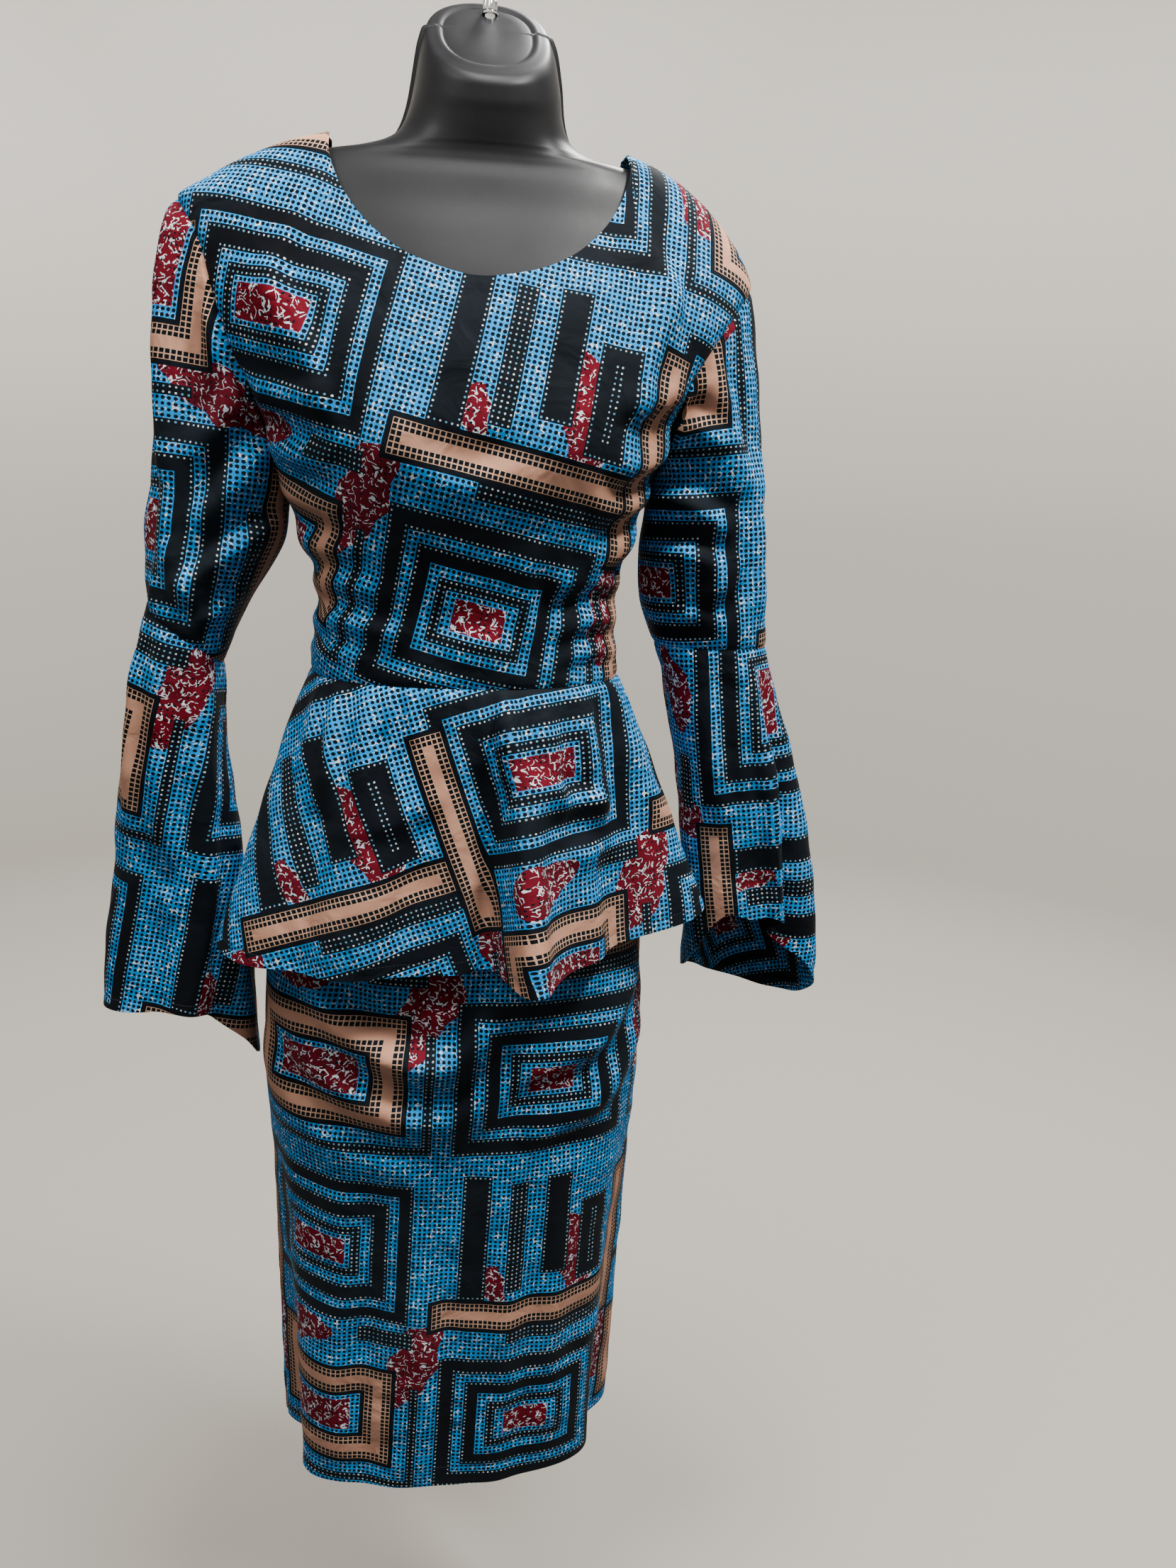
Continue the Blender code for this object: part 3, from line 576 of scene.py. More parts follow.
# Height, reach to -X, reach to +X, depth to the front, depth to the back, place of its middle
BODY = in_metres(
    (-10, 138.5, 138.5, 109.5, 72, 1),
    (0, 137, 137, 109, 72, 1),
    (60, 130, 130, 108, 72, 2),
    (120, 142, 142, 120, 76, 3.5),
    (160, 154, 154, 127, 79, 4.5),
    (200, 170, 168, 128, 80, 5.5),
    (236, 196, 190, 123, 80, 6.5),
    (264, 214, 207, 116, 79, 7),
    (300, 230, 226, 103, 76, 7.5),
    (329, 238, 232, 89, 71, 8),
    (350, 241, 224, 78, 65, 8),
    (372, 239, 208, 68, 59, 8),
    (388, 216, 193, 61, 55, 8),
    (403, 189, 174, 55, 51, 8),
    (417, 156, 148, 50, 47, 8),
    (427.5, 120, 120, 47, 45, 8),
    (440, 105, 105, 45, 43, 8),
)
ARMPIT = 0.200
NECK_POINT = 0.4275
FRONT_NECK = 0.317
BACK_NECK = 0.388
NECK_SHARE = 0.6
# The turned edge of the neck, the dip along a shoulder seam, the deepest that a crease's trough may be
# over the form, and the height from which the creases fade towards the shoulders
NECK_TURN = 0.0008
NECK_TURN_DEPTH = 0.012
SHOULDER_DIP = 0.0004
LOWEST_TROUGH = -0.0016
CALM_FROM = 0.30
# Armholes, from the armpit to the shoulder: distance from the middle, height
RIGHT_ARMHOLE = in_metres(
    (170, 200), (178.5, 228), (191, 249), (199, 272), (207, 297), (219, 340), (239, 372),
)
LEFT_ARMHOLE = in_metres(
    (168, 200), (170, 236), (180, 257), (192, 276), (205, 294), (218, 312), (232, 329),
)
CHEST_ROWS = 46
# Long soft waves that lie all over the cloth: how fast they go across and up, and where they start
SOFT_WAVES = (
    (61, 34, 0.4), (-83, 47, 1.9), (29, -97, 3.1),
    (122, 18, 4.4), (-41, -139, 5.2), (97, -71, 2.6),
)
SOFT_WAVE_RISE = 0.00032
CREASE_STRENGTH = 2.0
STEEP_SIDE = 0.60
# Creases: the rise of the ridge and its width, then the places on its path, each across and up
FRONT_CREASES = (
    (4.2, 9, -180, 240, -150, 226, -104, 222), (5.2, 9.5, -174, 206, -146, 184, -104, 176),
    (4.4, 8.5, -162, 176, -138, 150, -98, 138), (3.4, 9, -150, 140, -128, 112, -88, 104),
    (4.2, 9, 176, 246, 150, 230, 108, 224), (5.2, 9.5, 170, 206, 148, 186, 104, 174),
    (4.2, 8.5, 156, 172, 136, 150, 92, 142), (3.2, 9, 146, 134, 124, 110, 84, 104),
    (3.4, 9, -118, 400, -136, 350, -150, 300, -150, 254),
    (3.4, 9.5, -160, 330, -134, 276, -116, 226, -106, 176),
    (3.4, 9, 122, 394, 142, 345, 160, 300, 158, 254),
    (3.4, 9.5, 164, 326, 142, 276, 128, 224, 118, 170), (2.4, 11, -48, 178, -6, 164, 48, 180),
    (2.2, 9, -60, 120, -50, 76, -56, 26), (2.4, 9, 52, 124, 44, 80, 50, 30),
    (3.4, 8.5, -138, 74, -104, 82, -60, 70), (3.4, 8, -140, 42, -100, 50, -50, 40),
    (2.2, 6, -138, 18, -108, 24, -70, 20), (3.4, 8.5, 136, 80, 100, 88, 58, 78),
    (3.2, 8, 138, 48, 104, 54, 60, 44), (2.2, 6, 136, 20, 104, 26, 68, 22),
    (1.8, 8, -30, 34, 10, 40, 40, 32),
)
BACK_CREASES = (
    (3.2, 8, -170, 226, -144, 226, -100, 236), (3.4, 8.5, -162, 190, -140, 178, -104, 172),
    (3, 8, 168, 232, 140, 230, 96, 240), (3.6, 8.5, 160, 186, 136, 172, 102, 168),
    (3.2, 9, -132, 70, -90, 78, -30, 70), (2.6, 8, -134, 40, -96, 46, -40, 38),
    (3, 9, 132, 62, 86, 72, 24, 64), (2.4, 8, 136, 30, 90, 38, 40, 32),
    (2.2, 9, -110, 390, -118, 340, -104, 290), (2.4, 9, 112, 384, 122, 335, 108, 285),
)


def seam_dip(away):
    """How deep a seam draws the cloth in, this far from it."""
    return SEAM_DEPTH * hump(away, SEAM_WIDTH)


def along_path(points, share):
    """Places on a path at shares of its length."""
    points = np.array(points, float)
    lengths = np.concatenate([[0], np.cumsum(np.linalg.norm(np.diff(points, axis=0), axis=1))])
    table = [(length / lengths[-1], *point) for length, point in zip(lengths, points)]
    return read_table(table, share)


def packed(count, first=(), last=()):
    """Even shares from 0 to 1, with more of them close to each end at these small shares."""
    even = np.linspace(0, 1, count + 1)
    start, end = [max(near) + 0.7 / count if near else 0 for near in (first, last)]
    inner = even[(even > start) & (even < 1 - end)]
    return np.unique(np.concatenate([[0.0, 1.0], inner, list(first), [1 - s for s in last]]))


def creased(across, up, creases, radius=0.0):
    """The rise of a cloth's creases: each a ridge with one steep side, a trough beside it, and fading ends.

    Where radius is given, across holds angles and so do the paths, in degrees.
    """
    rise = np.zeros_like(across + up)
    for height, width, *path in creases:
        points = np.reshape(path, (-1, 2)) / 1000
        place = across
        if radius:
            points[:, 0] = np.radians(path[::2])
            centre = points[:, 0].mean()
            place = (centre + turned(across - centre)) * radius
            points[:, 0] *= radius
        way = along_path(points, np.linspace(0, 1, 13)).T
        start, step = way[:-1], np.diff(way, axis=0)
        x, z = (place + 0 * up)[..., None] - start[:, 0], (up + 0 * place)[..., None] - start[:, 1]
        length = (step**2).sum(1)
        t = np.clip((x * step[:, 0] + z * step[:, 1]) / length, 0, 1)
        off = np.hypot(x - t * step[:, 0], z - t * step[:, 1])
        nearest = off.argmin(-1)[..., None]
        along = (np.take_along_axis(t, nearest, -1)[..., 0] + nearest[..., 0]) / 12
        side = np.sign(np.take_along_axis(x * step[:, 1] - z * step[:, 0], nearest, -1)[..., 0])
        away = np.take_along_axis(off, nearest, -1)[..., 0] * 1000 / width
        away = away * np.where(side < 0, 1, STEEP_SIDE)
        fade = np.sin(math.pi * np.clip(along, 0, 1)) ** 0.7
        trough = 0.45 * np.exp(-((away - 1.7) ** 2)) * (side < 0)
        rise += CREASE_STRENGTH * height / 1000 * fade * (np.exp(-(away**2)) - trough)
    place = (across + 0 * up) * (radius or 1.0)
    for wave_across, wave_up, start in SOFT_WAVES:
        rise += SOFT_WAVE_RISE * np.sin(wave_across * place + wave_up * up + start)
    return rise


def outward_normals(points, closed):
    """Unit normals of a grid whose rows go up and whose columns go round through the front to +X."""
    if closed:
        along = np.roll(points, -1, axis=1) - np.roll(points, 1, axis=1)
    else:
        along = np.gradient(points, axis=1)
    normals = np.cross(along, np.gradient(points, axis=0))
    return normals / np.linalg.norm(normals, axis=2, keepdims=True)


def edge_distance(points):
    """How far each point of a grid is from its first and last column and its first and last row."""
    steps = [np.linalg.norm(np.diff(points, axis=axis), axis=2) for axis in (1, 0)]
    across = np.pad(steps[0], ((0, 0), (1, 0))).cumsum(1)
    up = np.pad(steps[1], ((1, 0), (0, 0))).cumsum(0)
    return across, across[:, -1:] - across, up, up[-1:] - up


def laid_flat(points, closed):
    """Lays a grid of cloth flat at its real size, as it was cut: the places of its points in metres."""

    def relaxed(flat, real, pairs, rounds, pace):
        times = np.zeros(flat.shape[:2])
        for a, b in pairs:
            times[a] += 1
            times[b] += 1
        for _ in range(rounds):
            move = np.zeros_like(flat)
            for (a, b), length in zip(pairs, real):
                gap = flat[b] - flat[a]
                now = np.linalg.norm(gap, axis=2)
                pull = gap * (0.5 * (1 - length / now))[..., None]
                move[a] += pull
                move[b] -= pull
            flat = flat + move * (pace / times)[..., None]
        return flat

    if closed:
        points = np.concatenate([points, points[:, :1]], axis=1)
    rows, columns = points.shape[:2]
    size = np.linalg.norm(np.diff(points, axis=1), axis=2).mean(0).cumsum()
    tall = np.linalg.norm(np.diff(points, axis=0), axis=2).mean(1).cumsum()
    u, v = np.concatenate([[0], size]) / size[-1], np.concatenate([[0], tall]) / tall[-1]
    chosen = [np.unique(np.searchsorted(s, np.linspace(0, 1, 23))) for s in (v, u)]
    coarse = points[chosen[0]][:, chosen[1]]
    across, _, up, _ = edge_distance(coarse)
    flat = np.stack([across - across.mean(1, keepdims=True), up], axis=-1)
    n = slice(None)
    pairs = (
        ((n, slice(None, -1)), (n, slice(1, None))),
        ((slice(None, -1), n), (slice(1, None), n)),
        ((slice(None, -1), slice(None, -1)), (slice(1, None), slice(1, None))),
        ((slice(None, -1), slice(1, None)), (slice(1, None), slice(None, -1))),
    )
    real = [np.linalg.norm(coarse[b] - coarse[a], axis=2) for a, b in pairs]
    flat = relaxed(flat, real, pairs, 1500, 1.6)
    at_u, at_v = u[chosen[1]], v[chosen[0]]
    wide = np.stack([[np.interp(u, at_u, row[:, k]) for row in flat] for k in (0, 1)], axis=-1)
    tall = [[np.interp(v, at_v, wide[:, c, k]) for c in range(columns)] for k in (0, 1)]
    flat = np.array(tall).T
    real = [np.linalg.norm(points[b] - points[a], axis=2) for a, b in pairs]
    return relaxed(flat, real, pairs, 250, 1.2)


def cloth_wall(name, outer, normals, closed, turn, shift, thick=CLOTH, surface=None):
    """A piece of cloth: its outer grid, the same grid its thickness inside, and the edges between them.

    Its print is laid on the flat cut, turned by this many degrees and shifted by this much.
    """
    rows, columns = outer.shape[:2]
    inner = outer - normals * np.broadcast_to(thick, (rows, columns))[..., None]
    flat = laid_flat(outer if surface is None else surface, closed)
    c, s = math.cos(math.radians(turn)), math.sin(math.radians(turn))
    flat = flat @ np.array(((c, s), (-s, c))) + np.array(shift)
    ids = np.arange(rows * columns).reshape(rows, columns)
    if closed:
        ids = np.concatenate([ids, ids[:, :1]], axis=1)
    flat_ids = np.arange(ids.size).reshape(ids.shape)
    p, q = np.stack([ids, flat_ids]), np.stack([ids + rows * columns, flat_ids])
    sides = [
        (p[:, :-1, :-1], p[:, :-1, 1:], p[:, 1:, 1:], p[:, 1:, :-1]),
        (q[:, :-1, :-1], q[:, 1:, :-1], q[:, 1:, 1:], q[:, :-1, 1:]),
        (p[:, 0, :-1], q[:, 0, :-1], q[:, 0, 1:], p[:, 0, 1:]),
        (p[:, -1, :-1], p[:, -1, 1:], q[:, -1, 1:], q[:, -1, :-1]),
    ]
    if not closed:
        sides.append((p[:, :-1, 0], p[:, 1:, 0], q[:, 1:, 0], q[:, :-1, 0]))
        sides.append((p[:, :-1, -1], q[:, :-1, -1], q[:, 1:, -1], p[:, 1:, -1]))
    quads = np.concatenate([np.stack(side, axis=-1).reshape(2, -1, 4) for side in sides], axis=1)
    places = flat.reshape(-1, 2)[quads[1].reshape(-1)]
    points = np.concatenate([outer.reshape(-1, 3), inner.reshape(-1, 3)])
    return piece_of(name, points, quads[0], wax_print, places)


def bodice_point(side, x, height, face):
    """The cloth's outer point this far towards a side (-1 or 1), on the front (-1) or the back (1)."""
    reach_right, reach_left, front, back, middle = read_table(BODY, height)
    reach = reach_right if side < 0 else reach_left
    share = np.clip(x / reach, 0.0, 1.0)
    depth = np.where(face < 0, front, back) * (1 - share**SQUARENESS) ** (1 / SQUARENESS)
    depth = depth + np.where(face < 0, bust_rise(x, height) * (1 - share**4), 0.0)
    return np.stack([side * x + middle, face * depth, height + 0.0 * x], axis=-1)


BODICE_ACROSS = packed(56, (0.004, 0.011, 0.020), (0.005, 0.012, 0.022))
BODICE_ACROSS = np.unique(np.concatenate([BODICE_ACROSS, [NECK_SHARE]]))
BODICE_UP = packed(44, (0.005, 0.012, 0.022), ())


def bodice_half(side, face):
    """One half of the front or back: rows from the waist up, columns from the middle out to the side."""
    reach_column = 0 if side < 0 else 1
    armhole = RIGHT_ARMHOLE if side < 0 else LEFT_ARMHOLE
    across = BODICE_ACROSS
    sine = np.sin(across * math.pi / 2) ** (2 / SQUARENESS)
    neck = FRONT_NECK if face < 0 else BACK_NECK
    grid = []
    for height in SEAM_GAP / 2 + BODICE_UP * (ARMPIT - SEAM_GAP / 2):
        reach = read_table(BODY, height)[reach_column]
        grid.append(np.stack([reach * sine, np.full_like(across, height)], axis=-1))
    bottom = grid.pop()
    neck_reach = read_table(BODY, NECK_POINT)[reach_column]
    heights = np.linspace(NECK_POINT, armhole[-1][1], 40)
    ridge = np.stack([read_table(BODY, heights)[reach_column], heights], axis=-1)
    shoulder = along_path(ridge, np.clip((across - NECK_SHARE) / (1 - NECK_SHARE), 0, 1))
    scoop = np.clip(across / NECK_SHARE, 0, 1) * math.pi / 2
    in_neck = across < NECK_SHARE
    top = np.stack(
        [
            np.where(in_neck, neck_reach * np.sin(scoop), shoulder[0]),
            np.where(in_neck, NECK_POINT - (NECK_POINT - neck) * np.cos(scoop), shoulder[1]),
        ],
        axis=-1,
    )
    u = across[:, None]
    for v in np.sin(np.linspace(0, math.pi / 2, CHEST_ROWS + 1)):
        left = (1 - v) * bottom[0] + v * top[0]
        right = along_path(armhole, v)
        corners = (1 - u) * left + u * ((1 - v) * bottom[-1] + v * top[-1])
        grid.append((1 - v) * bottom + v * top + (1 - u) * left + u * right - corners)
    grid = np.array(grid)
    return bodice_point(side, grid[..., 0], grid[..., 1], face)


def make_bodice():
    """Builds the front and the two backs, and returns each armhole: its points, normals and sunk seam."""
    edges = {}
    side_rows = len(BODICE_UP) - 1
    for face in (-1, 1):
        whole = np.concatenate([bodice_half(-1, face)[:, :0:-1], bodice_half(1, face)], axis=1)
        normals = outward_normals(whole, False) * -face
        middle = len(BODICE_ACROSS) - 1
        shoulder = [j for j in range(middle + 1) if BODICE_ACROSS[j] >= NECK_SHARE - 1e-9]
        seams = [(i, 0) for i in range(side_rows + 1)] + [(i, 2 * middle) for i in range(side_rows + 1)]
        seams += [(-1, middle + j) for j in shoulder] + [(-1, middle - j) for j in shoulder]
        for i, j in seams:
            normals[i, j, 1] = 0.0
            normals[i, j] /= np.linalg.norm(normals[i, j])
        from_left, from_right, from_low, from_high = edge_distance(whole)
        at = np.abs(np.arange(2 * middle + 1) - middle)
        on_shoulder = np.clip((BODICE_ACROSS[at] - NECK_SHARE) / 0.05, 0, 1)
        sunk = np.maximum(seam_dip(from_left) + seam_dip(from_right), seam_dip(from_low))
        sunk = np.maximum(sunk, SHOULDER_DIP * hump(from_high, 0.002) * on_shoulder)
        if face > 0:
            from_middle = whole[..., 0] - whole[:, middle, 0][:, None]
            sunk = np.maximum(sunk, seam_dip(from_middle))
        calm = 1 - 0.85 * np.clip((whole[..., 2] - CALM_FROM) / 0.09, 0, 1)
        rise = creased(whole[..., 0], whole[..., 2], FRONT_CREASES if face < 0 else BACK_CREASES) * calm
        quiet = 1 - hump(from_left, 0.012) * 0.7 - hump(from_right, 0.012) * 0.7
        rise = rise * quiet * (1 - 0.6 * hump(from_low, 0.010))
        lifted = whole + normals * (np.maximum(rise, LOWEST_TROUGH) - sunk)[..., None]
        for side, edge in ((-1, 0), (1, 2 * middle)):
            rows = slice(side_rows, None)
            edges[side, face] = whole[rows, edge], normals[rows, edge], (lifted - whole)[rows, edge]
        gap = np.array([0.0, face, 0.0]) * SEAM_GAP / 2
        lifted, surface = lifted + gap, whole + gap
        thick = CLOTH + NECK_TURN * (from_high < NECK_TURN_DEPTH) * (1 - on_shoulder)
        if face < 0:
            cloth_wall("bodice_front_cloth", lifted, normals, False, *BODICE_FRONT_LAY, thick, surface)
            continue
        halves = (
            ("bodice_back_left_cloth", range(2 * middle, middle - 1, -1), 1, BODICE_BACK_LEFT_LAY),
            ("bodice_back_right_cloth", range(middle, -1, -1), -1, BODICE_BACK_RIGHT_LAY),
        )
        for name, chosen, side, lay in halves:
            picked = list(chosen)
            shift = np.array([side, 0.0, 0.0]) * SEAM_GAP / 2
            part = lifted[:, picked] + shift
            cloth_wall(name, part, normals[:, picked], False, *lay, thick[:, picked], surface[:, picked])
    armholes = {}
    for side in (-1, 1):
        front, back = edges[side, -1], edges[side, 1]
        armholes[side] = [np.concatenate([front[i], back[i][-2:0:-1]]) for i in (0, 1, 2)]
    return armholes


def dress_up(node):
    """Puts a finished piece of cloth in its solid's place."""
    piece = bpy.data.objects[node + "_cloth"]
    stand_in(piece, node)


# The lay of the print on each panel: degrees turned, shift across and up
BODICE_FRONT_LAY = (12.0, (0.110, 0.020))
BODICE_BACK_LEFT_LAY = (-78.0, (0.050, 0.160))
BODICE_BACK_RIGHT_LAY = (95.0, (0.270, 0.060))
wax_print = material_of("wax print cotton", wax_print_cotton)
armholes = make_bodice()
dress_up("bodice_front")
dress_up("bodice_back_left")
dress_up("bodice_back_right")


# The sleeves: each is set into its armhole, runs straight to the elbow, and ends in a wide bell sewn on
# there. The right one is lifted square on its shoulder and creased down its outer edge; the left droops.
# Height, inner edge, outer edge, depth to the front, depth to the back
RIGHT_ARM = in_metres(
    (150, 154, 262, 50, 40),
    (113, 159, 269, 50, 40),
    (60, 189, 276, 49, 40),
    (25, 207, 282, 48, 40),
    (0, 215, 289, 47, 42),
    (-54, 216.5, 301, 45, 47),
    (-119, 212, 312, 42, 56),
    (-185, 206, 319, 36, 68),
    (-254, 204, 331, 33, 78),
    (-330, 201, 338, 36, 80),
    (-400, 198, 340, 38, 80),
)
LEFT_ARM = in_metres(
    (150, 153.5, 256, 50, 40),
    (100, 150, 263, 48, 40),
    (66, 153, 269, 46, 38),
    (30, 166, 272, 44, 37),
    (0, 177, 276, 43, 38),
    (-46, 186, 288, 42, 43),
    (-82, 194, 299.5, 41, 49),
    (-140, 203, 314, 39, 58),
    (-194, 208, 326, 37, 66),
    (-249, 213, 335, 37, 72),
    (-300, 215, 342, 38, 76),
    (-380, 215, 345, 38, 78),
)
ARM_MIDDLE = 0.005
# Elbow seams: height at the middle of the arm, rise from there to its outer edge
RIGHT_ELBOW = (0.030, 0.028)
LEFT_ELBOW = (0.026, 0.000)
# How steeply the sleeve's head leaves the armhole at the shoulder, below level
RIGHT_HEAD_SLOPE = math.radians(24)
LEFT_HEAD_SLOPE = math.radians(76)
RIGHT_HEM = -0.318
RIGHT_HEM_BUMPS = (
    (-8, -62, 32),
)
LEFT_HEM = -0.345
LEFT_HEM_BUMPS = (
    (52, 104, 46), (124, 100, 46), (-30, 34, 45),
)
# Bell folds: direction, rise at the hem, spread
RIGHT_BELL_FOLDS = (
    (32, -12, 14), (66, 9, 16), (118, -6, 24), (228, -12, 22), (300, -14, 20),
)
LEFT_BELL_FOLDS = (
    (60, 4, 26), (122, 10, 8), (143, -26, 9), (176, 8, 14), (238, -12, 22), (305, -14, 22),
)
# Round an arm, 0 is its inner edge and 90 its front. Creases as on the bodice, with degrees for across.
RIGHT_UPPER_CREASES = (
    (4.4, 10, 146, 360, 140, 250, 134, 130, 130, 30), (5, 9.5, 24, 190, 58, 172, 104, 120),
    (5, 9, 20, 130, 58, 112, 106, 66), (4.2, 10, 44, 240, 76, 206, 116, 176),
    (3.4, 11, 60, 310, 72, 260, 78, 206), (4, 8, 128, 110, 100, 66, 64, 48),
    (2.8, 7, 40, 70, 66, 50, 96, 34), (4, 9, 176, 200, 186, 120, 182, 50),
    (4, 9, -30, 170, -62, 140, -104, 120), (3.6, 9, -36, 110, -70, 90, -110, 80),
    (4, 9, -150, 300, -140, 200, -138, 100),
)
LEFT_UPPER_CREASES = (
    (4.6, 9.5, 22, 206, 56, 214, 96, 196), (5.2, 9.5, 16, 156, 56, 154, 108, 126),
    (4.4, 8.5, 24, 104, 62, 110, 104, 96), (4.6, 11, 66, 276, 92, 226, 124, 160),
    (2.4, 6.5, 40, 60, 70, 56, 104, 52), (3.4, 8.5, 120, 110, 90, 74, 60, 66),
    (3.6, 9, 150, 200, 146, 120, 150, 50), (3.8, 9, -24, 170, -60, 160, -100, 130),
    (3.6, 9, -30, 110, -72, 100, -112, 70), (3.6, 10, -140, 230, -130, 150, -136, 70),
)
RIGHT_BELL_CREASES = (
    (4.6, 11, 60, 36, 52, -80, 46, -200, 44, -330), (3, 11, 104, 50, 100, -60, 104, -180),
    (3.4, 10, 140, 60, 136, -50, 142, -150), (4.8, 13, -60, 20, -70, -100, -66, -300),
    (4.4, 13, -120, 20, -128, -120, -122, -280), (1.6, 9, 70, -180, 92, -210, 118, -200),
)
LEFT_BELL_CREASES = (
    (3.4, 11, 64, 30, 58, -60, 56, -150), (3.2, 11, 118, 30, 124, -80, 120, -200),
    (1.8, 11, 88, -10, 84, -80, 90, -170), (4, 12, 172, 20, 178, -100, 176, -300),
    (5, 13, -64, 20, -72, -120, -70, -320), (4.4, 13, -118, 20, -124, -140, -120, -320),
)
ARM_ROUND = 0.048
# A turned hem: its extra thickness, its depth on the bells, and where and how deep its stitches pull in
HEM_TURN = 0.0009
BELL_HEM = 0.0112
STITCH_INSET = 0.0007
STITCH_DEPTH = 0.0003


def bumps(angle, table):
    """The sum of soft bumps: direction, rise, spread before it and, where that differs, spread after it."""
    rise = np.zeros_like(angle)
    for at, size, *spreads in table:
        away = turned(angle - math.radians(at))
        rise += size / 1000 * hump(away, np.radians(np.where(away < 0, spreads[0], spreads[-1])))
    return rise


def arm_ring(turn, height, table, rise=0.0):
    """A section of an arm at +X: turn 0 is its inner edge and a quarter turn is its front."""
    inner, outer, front, back = read_table(table, height)
    x, y = section(turn - math.pi / 2, (outer - inner) / 2, front, back, rise)
    return np.stack([(inner + outer) / 2 + x + ARM_MIDDLE, y, height + 0.0 * turn], axis=-1)


def sleeve_head(start, end, turn, slope, steps):
    """The head of a sleeve at +X, from just off the armhole to its first level section."""
    share = 1 - np.abs(turned(turn - math.pi)) / math.pi
    start = start + np.array([SEAM_GAP * 1.3, 0.0, 0.0])
    reach = np.linalg.norm(end - start, axis=1)
    dip = math.pi / 2 + (slope - math.pi / 2) * share**1.5
    pull = reach * 0.9 * (1 - 0.6 * share)
    leave = np.stack([np.cos(dip), np.zeros_like(dip), -np.sin(dip)], axis=-1) * pull[:, None]
    arrive = np.stack([0.0 * dip, 0.0 * dip, -reach * 1.1], axis=-1)
    return [smooth_way(s, start, leave, end, arrive) for s in steps[:-1]]


def hem_line(grid, from_low, high):
    """The places on a grid of cloth this high above its hem, one in each column."""
    columns = zip(from_low.T, grid.swapaxes(0, 1))
    return np.array([[np.interp(high, d, line[:, k]) for k in (0, 1, 2)] for d, line in columns])


def make_sleeve(side, armhole, table, elbow, slope, hem, hem_bumps, folds, creases, lays):
    """One sleeve: its upper part down to the elbow seam, and its bell. side is 1 at +X and -1 at -X."""
    columns = 2 * CHEST_ROWS
    name = "left_sleeve" if side > 0 else "right_sleeve"
    turn = np.arange(columns) * 2 * math.pi / columns
    top = table[0][0]
    seam = elbow[0] - elbow[1] * np.cos(turn)
    shift = np.array([2 * ARM_MIDDLE if side < 0 else 0.0, 0.0, 0.0])
    flip = np.array([side, 1.0, 1.0])
    steps = packed(34, (0.012, 0.028, 0.050), ())
    upper = sleeve_head(armhole[0] * flip, arm_ring(turn, top, table) - shift, turn, slope, steps)
    for share in packed(30, (), (0.008, 0.018, 0.032)):
        upper.append(arm_ring(turn, top + share * (seam - top), table) - shift)
    low = hem + bumps(turn, hem_bumps)
    fold = bumps(turn, folds)
    bell = []
    for share in packed(80, (0.003, 0.007, 0.012), (0.002, 0.005, 0.025, 0.030, 0.034)):
        height = seam - SEAM_GAP + share * (low - seam + SEAM_GAP)
        bell.append(arm_ring(turn, height, table, fold * share**1.3) - shift)
    for part, rows, marks, lay in zip(("upper", "bell"), (upper, bell), creases, lays):
        surface = np.array(rows)[::-1]
        normals = outward_normals(surface, True)
        _, _, from_low, from_high = edge_distance(surface)
        rise = creased(turn[None, :] + 0 * from_low, surface[..., 2], marks, ARM_ROUND)
        if part == "upper":
            share = 1 - np.abs(turned(turn - math.pi)) / math.pi
            along = np.clip(2.5 * share - 0.5, 0, 1)[:, None]
            normals[-1] = (1 - along) * normals[-1] + along * armhole[1] * flip
            normals[-1] /= np.linalg.norm(normals[-1], axis=1, keepdims=True)
            rise = rise * (1 - hump(from_high, 0.014)) * (1 - 0.7 * hump(from_low, 0.008))
            sunk = seam_dip(from_low)
            grid = surface + normals * (rise - sunk)[..., None]
            grid = grid + (armhole[2] * flip)[None] * hump(from_high, SEAM_WIDTH)[..., None]
            thick = CLOTH
        else:
            rise = rise * (1 - 0.7 * hump(from_high, 0.008))
            stitched = STITCH_DEPTH * hump(from_low - BELL_HEM + STITCH_INSET, 0.0010)
            sunk = seam_dip(from_high) + stitched
            grid = surface + normals * (rise - sunk)[..., None]
            thick = CLOTH + HEM_TURN * (from_low < BELL_HEM)
            stitch_lines.append((hem_line(grid, from_low, BELL_HEM - STITCH_INSET) * flip, True))
        places = surface
        if side < 0:
            grid, normals, places = grid[:, ::-1] * flip, normals[:, ::-1] * flip, surface[:, ::-1] * flip
            thick = thick if isinstance(thick, float) else thick[:, ::-1]
        cloth_wall(f"{name}_{part}_cloth", grid, normals, True, *lay, thick, places)


# Where the hems are stitched: the places along each, and whether it closes on itself
stitch_lines = []
RIGHT_LAYS = ((90.0, (0.190, 0.080)), (4.0, (0.350, 0.200)))
LEFT_LAYS = ((0.0, (0.030, 0.210)), (92.0, (0.140, 0.330)))
right_parts = RIGHT_HEM_BUMPS, RIGHT_BELL_FOLDS, (RIGHT_UPPER_CREASES, RIGHT_BELL_CREASES), RIGHT_LAYS
left_parts = LEFT_HEM_BUMPS, LEFT_BELL_FOLDS, (LEFT_UPPER_CREASES, LEFT_BELL_CREASES), LEFT_LAYS
make_sleeve(-1, armholes[-1], RIGHT_ARM, RIGHT_ELBOW, RIGHT_HEAD_SLOPE, RIGHT_HEM, *right_parts)
make_sleeve(1, armholes[1], LEFT_ARM, LEFT_ELBOW, LEFT_HEAD_SLOPE, LEFT_HEM, *left_parts)
dress_up("right_sleeve_upper")
dress_up("right_sleeve_bell")
dress_up("left_sleeve_upper")
dress_up("left_sleeve_bell")


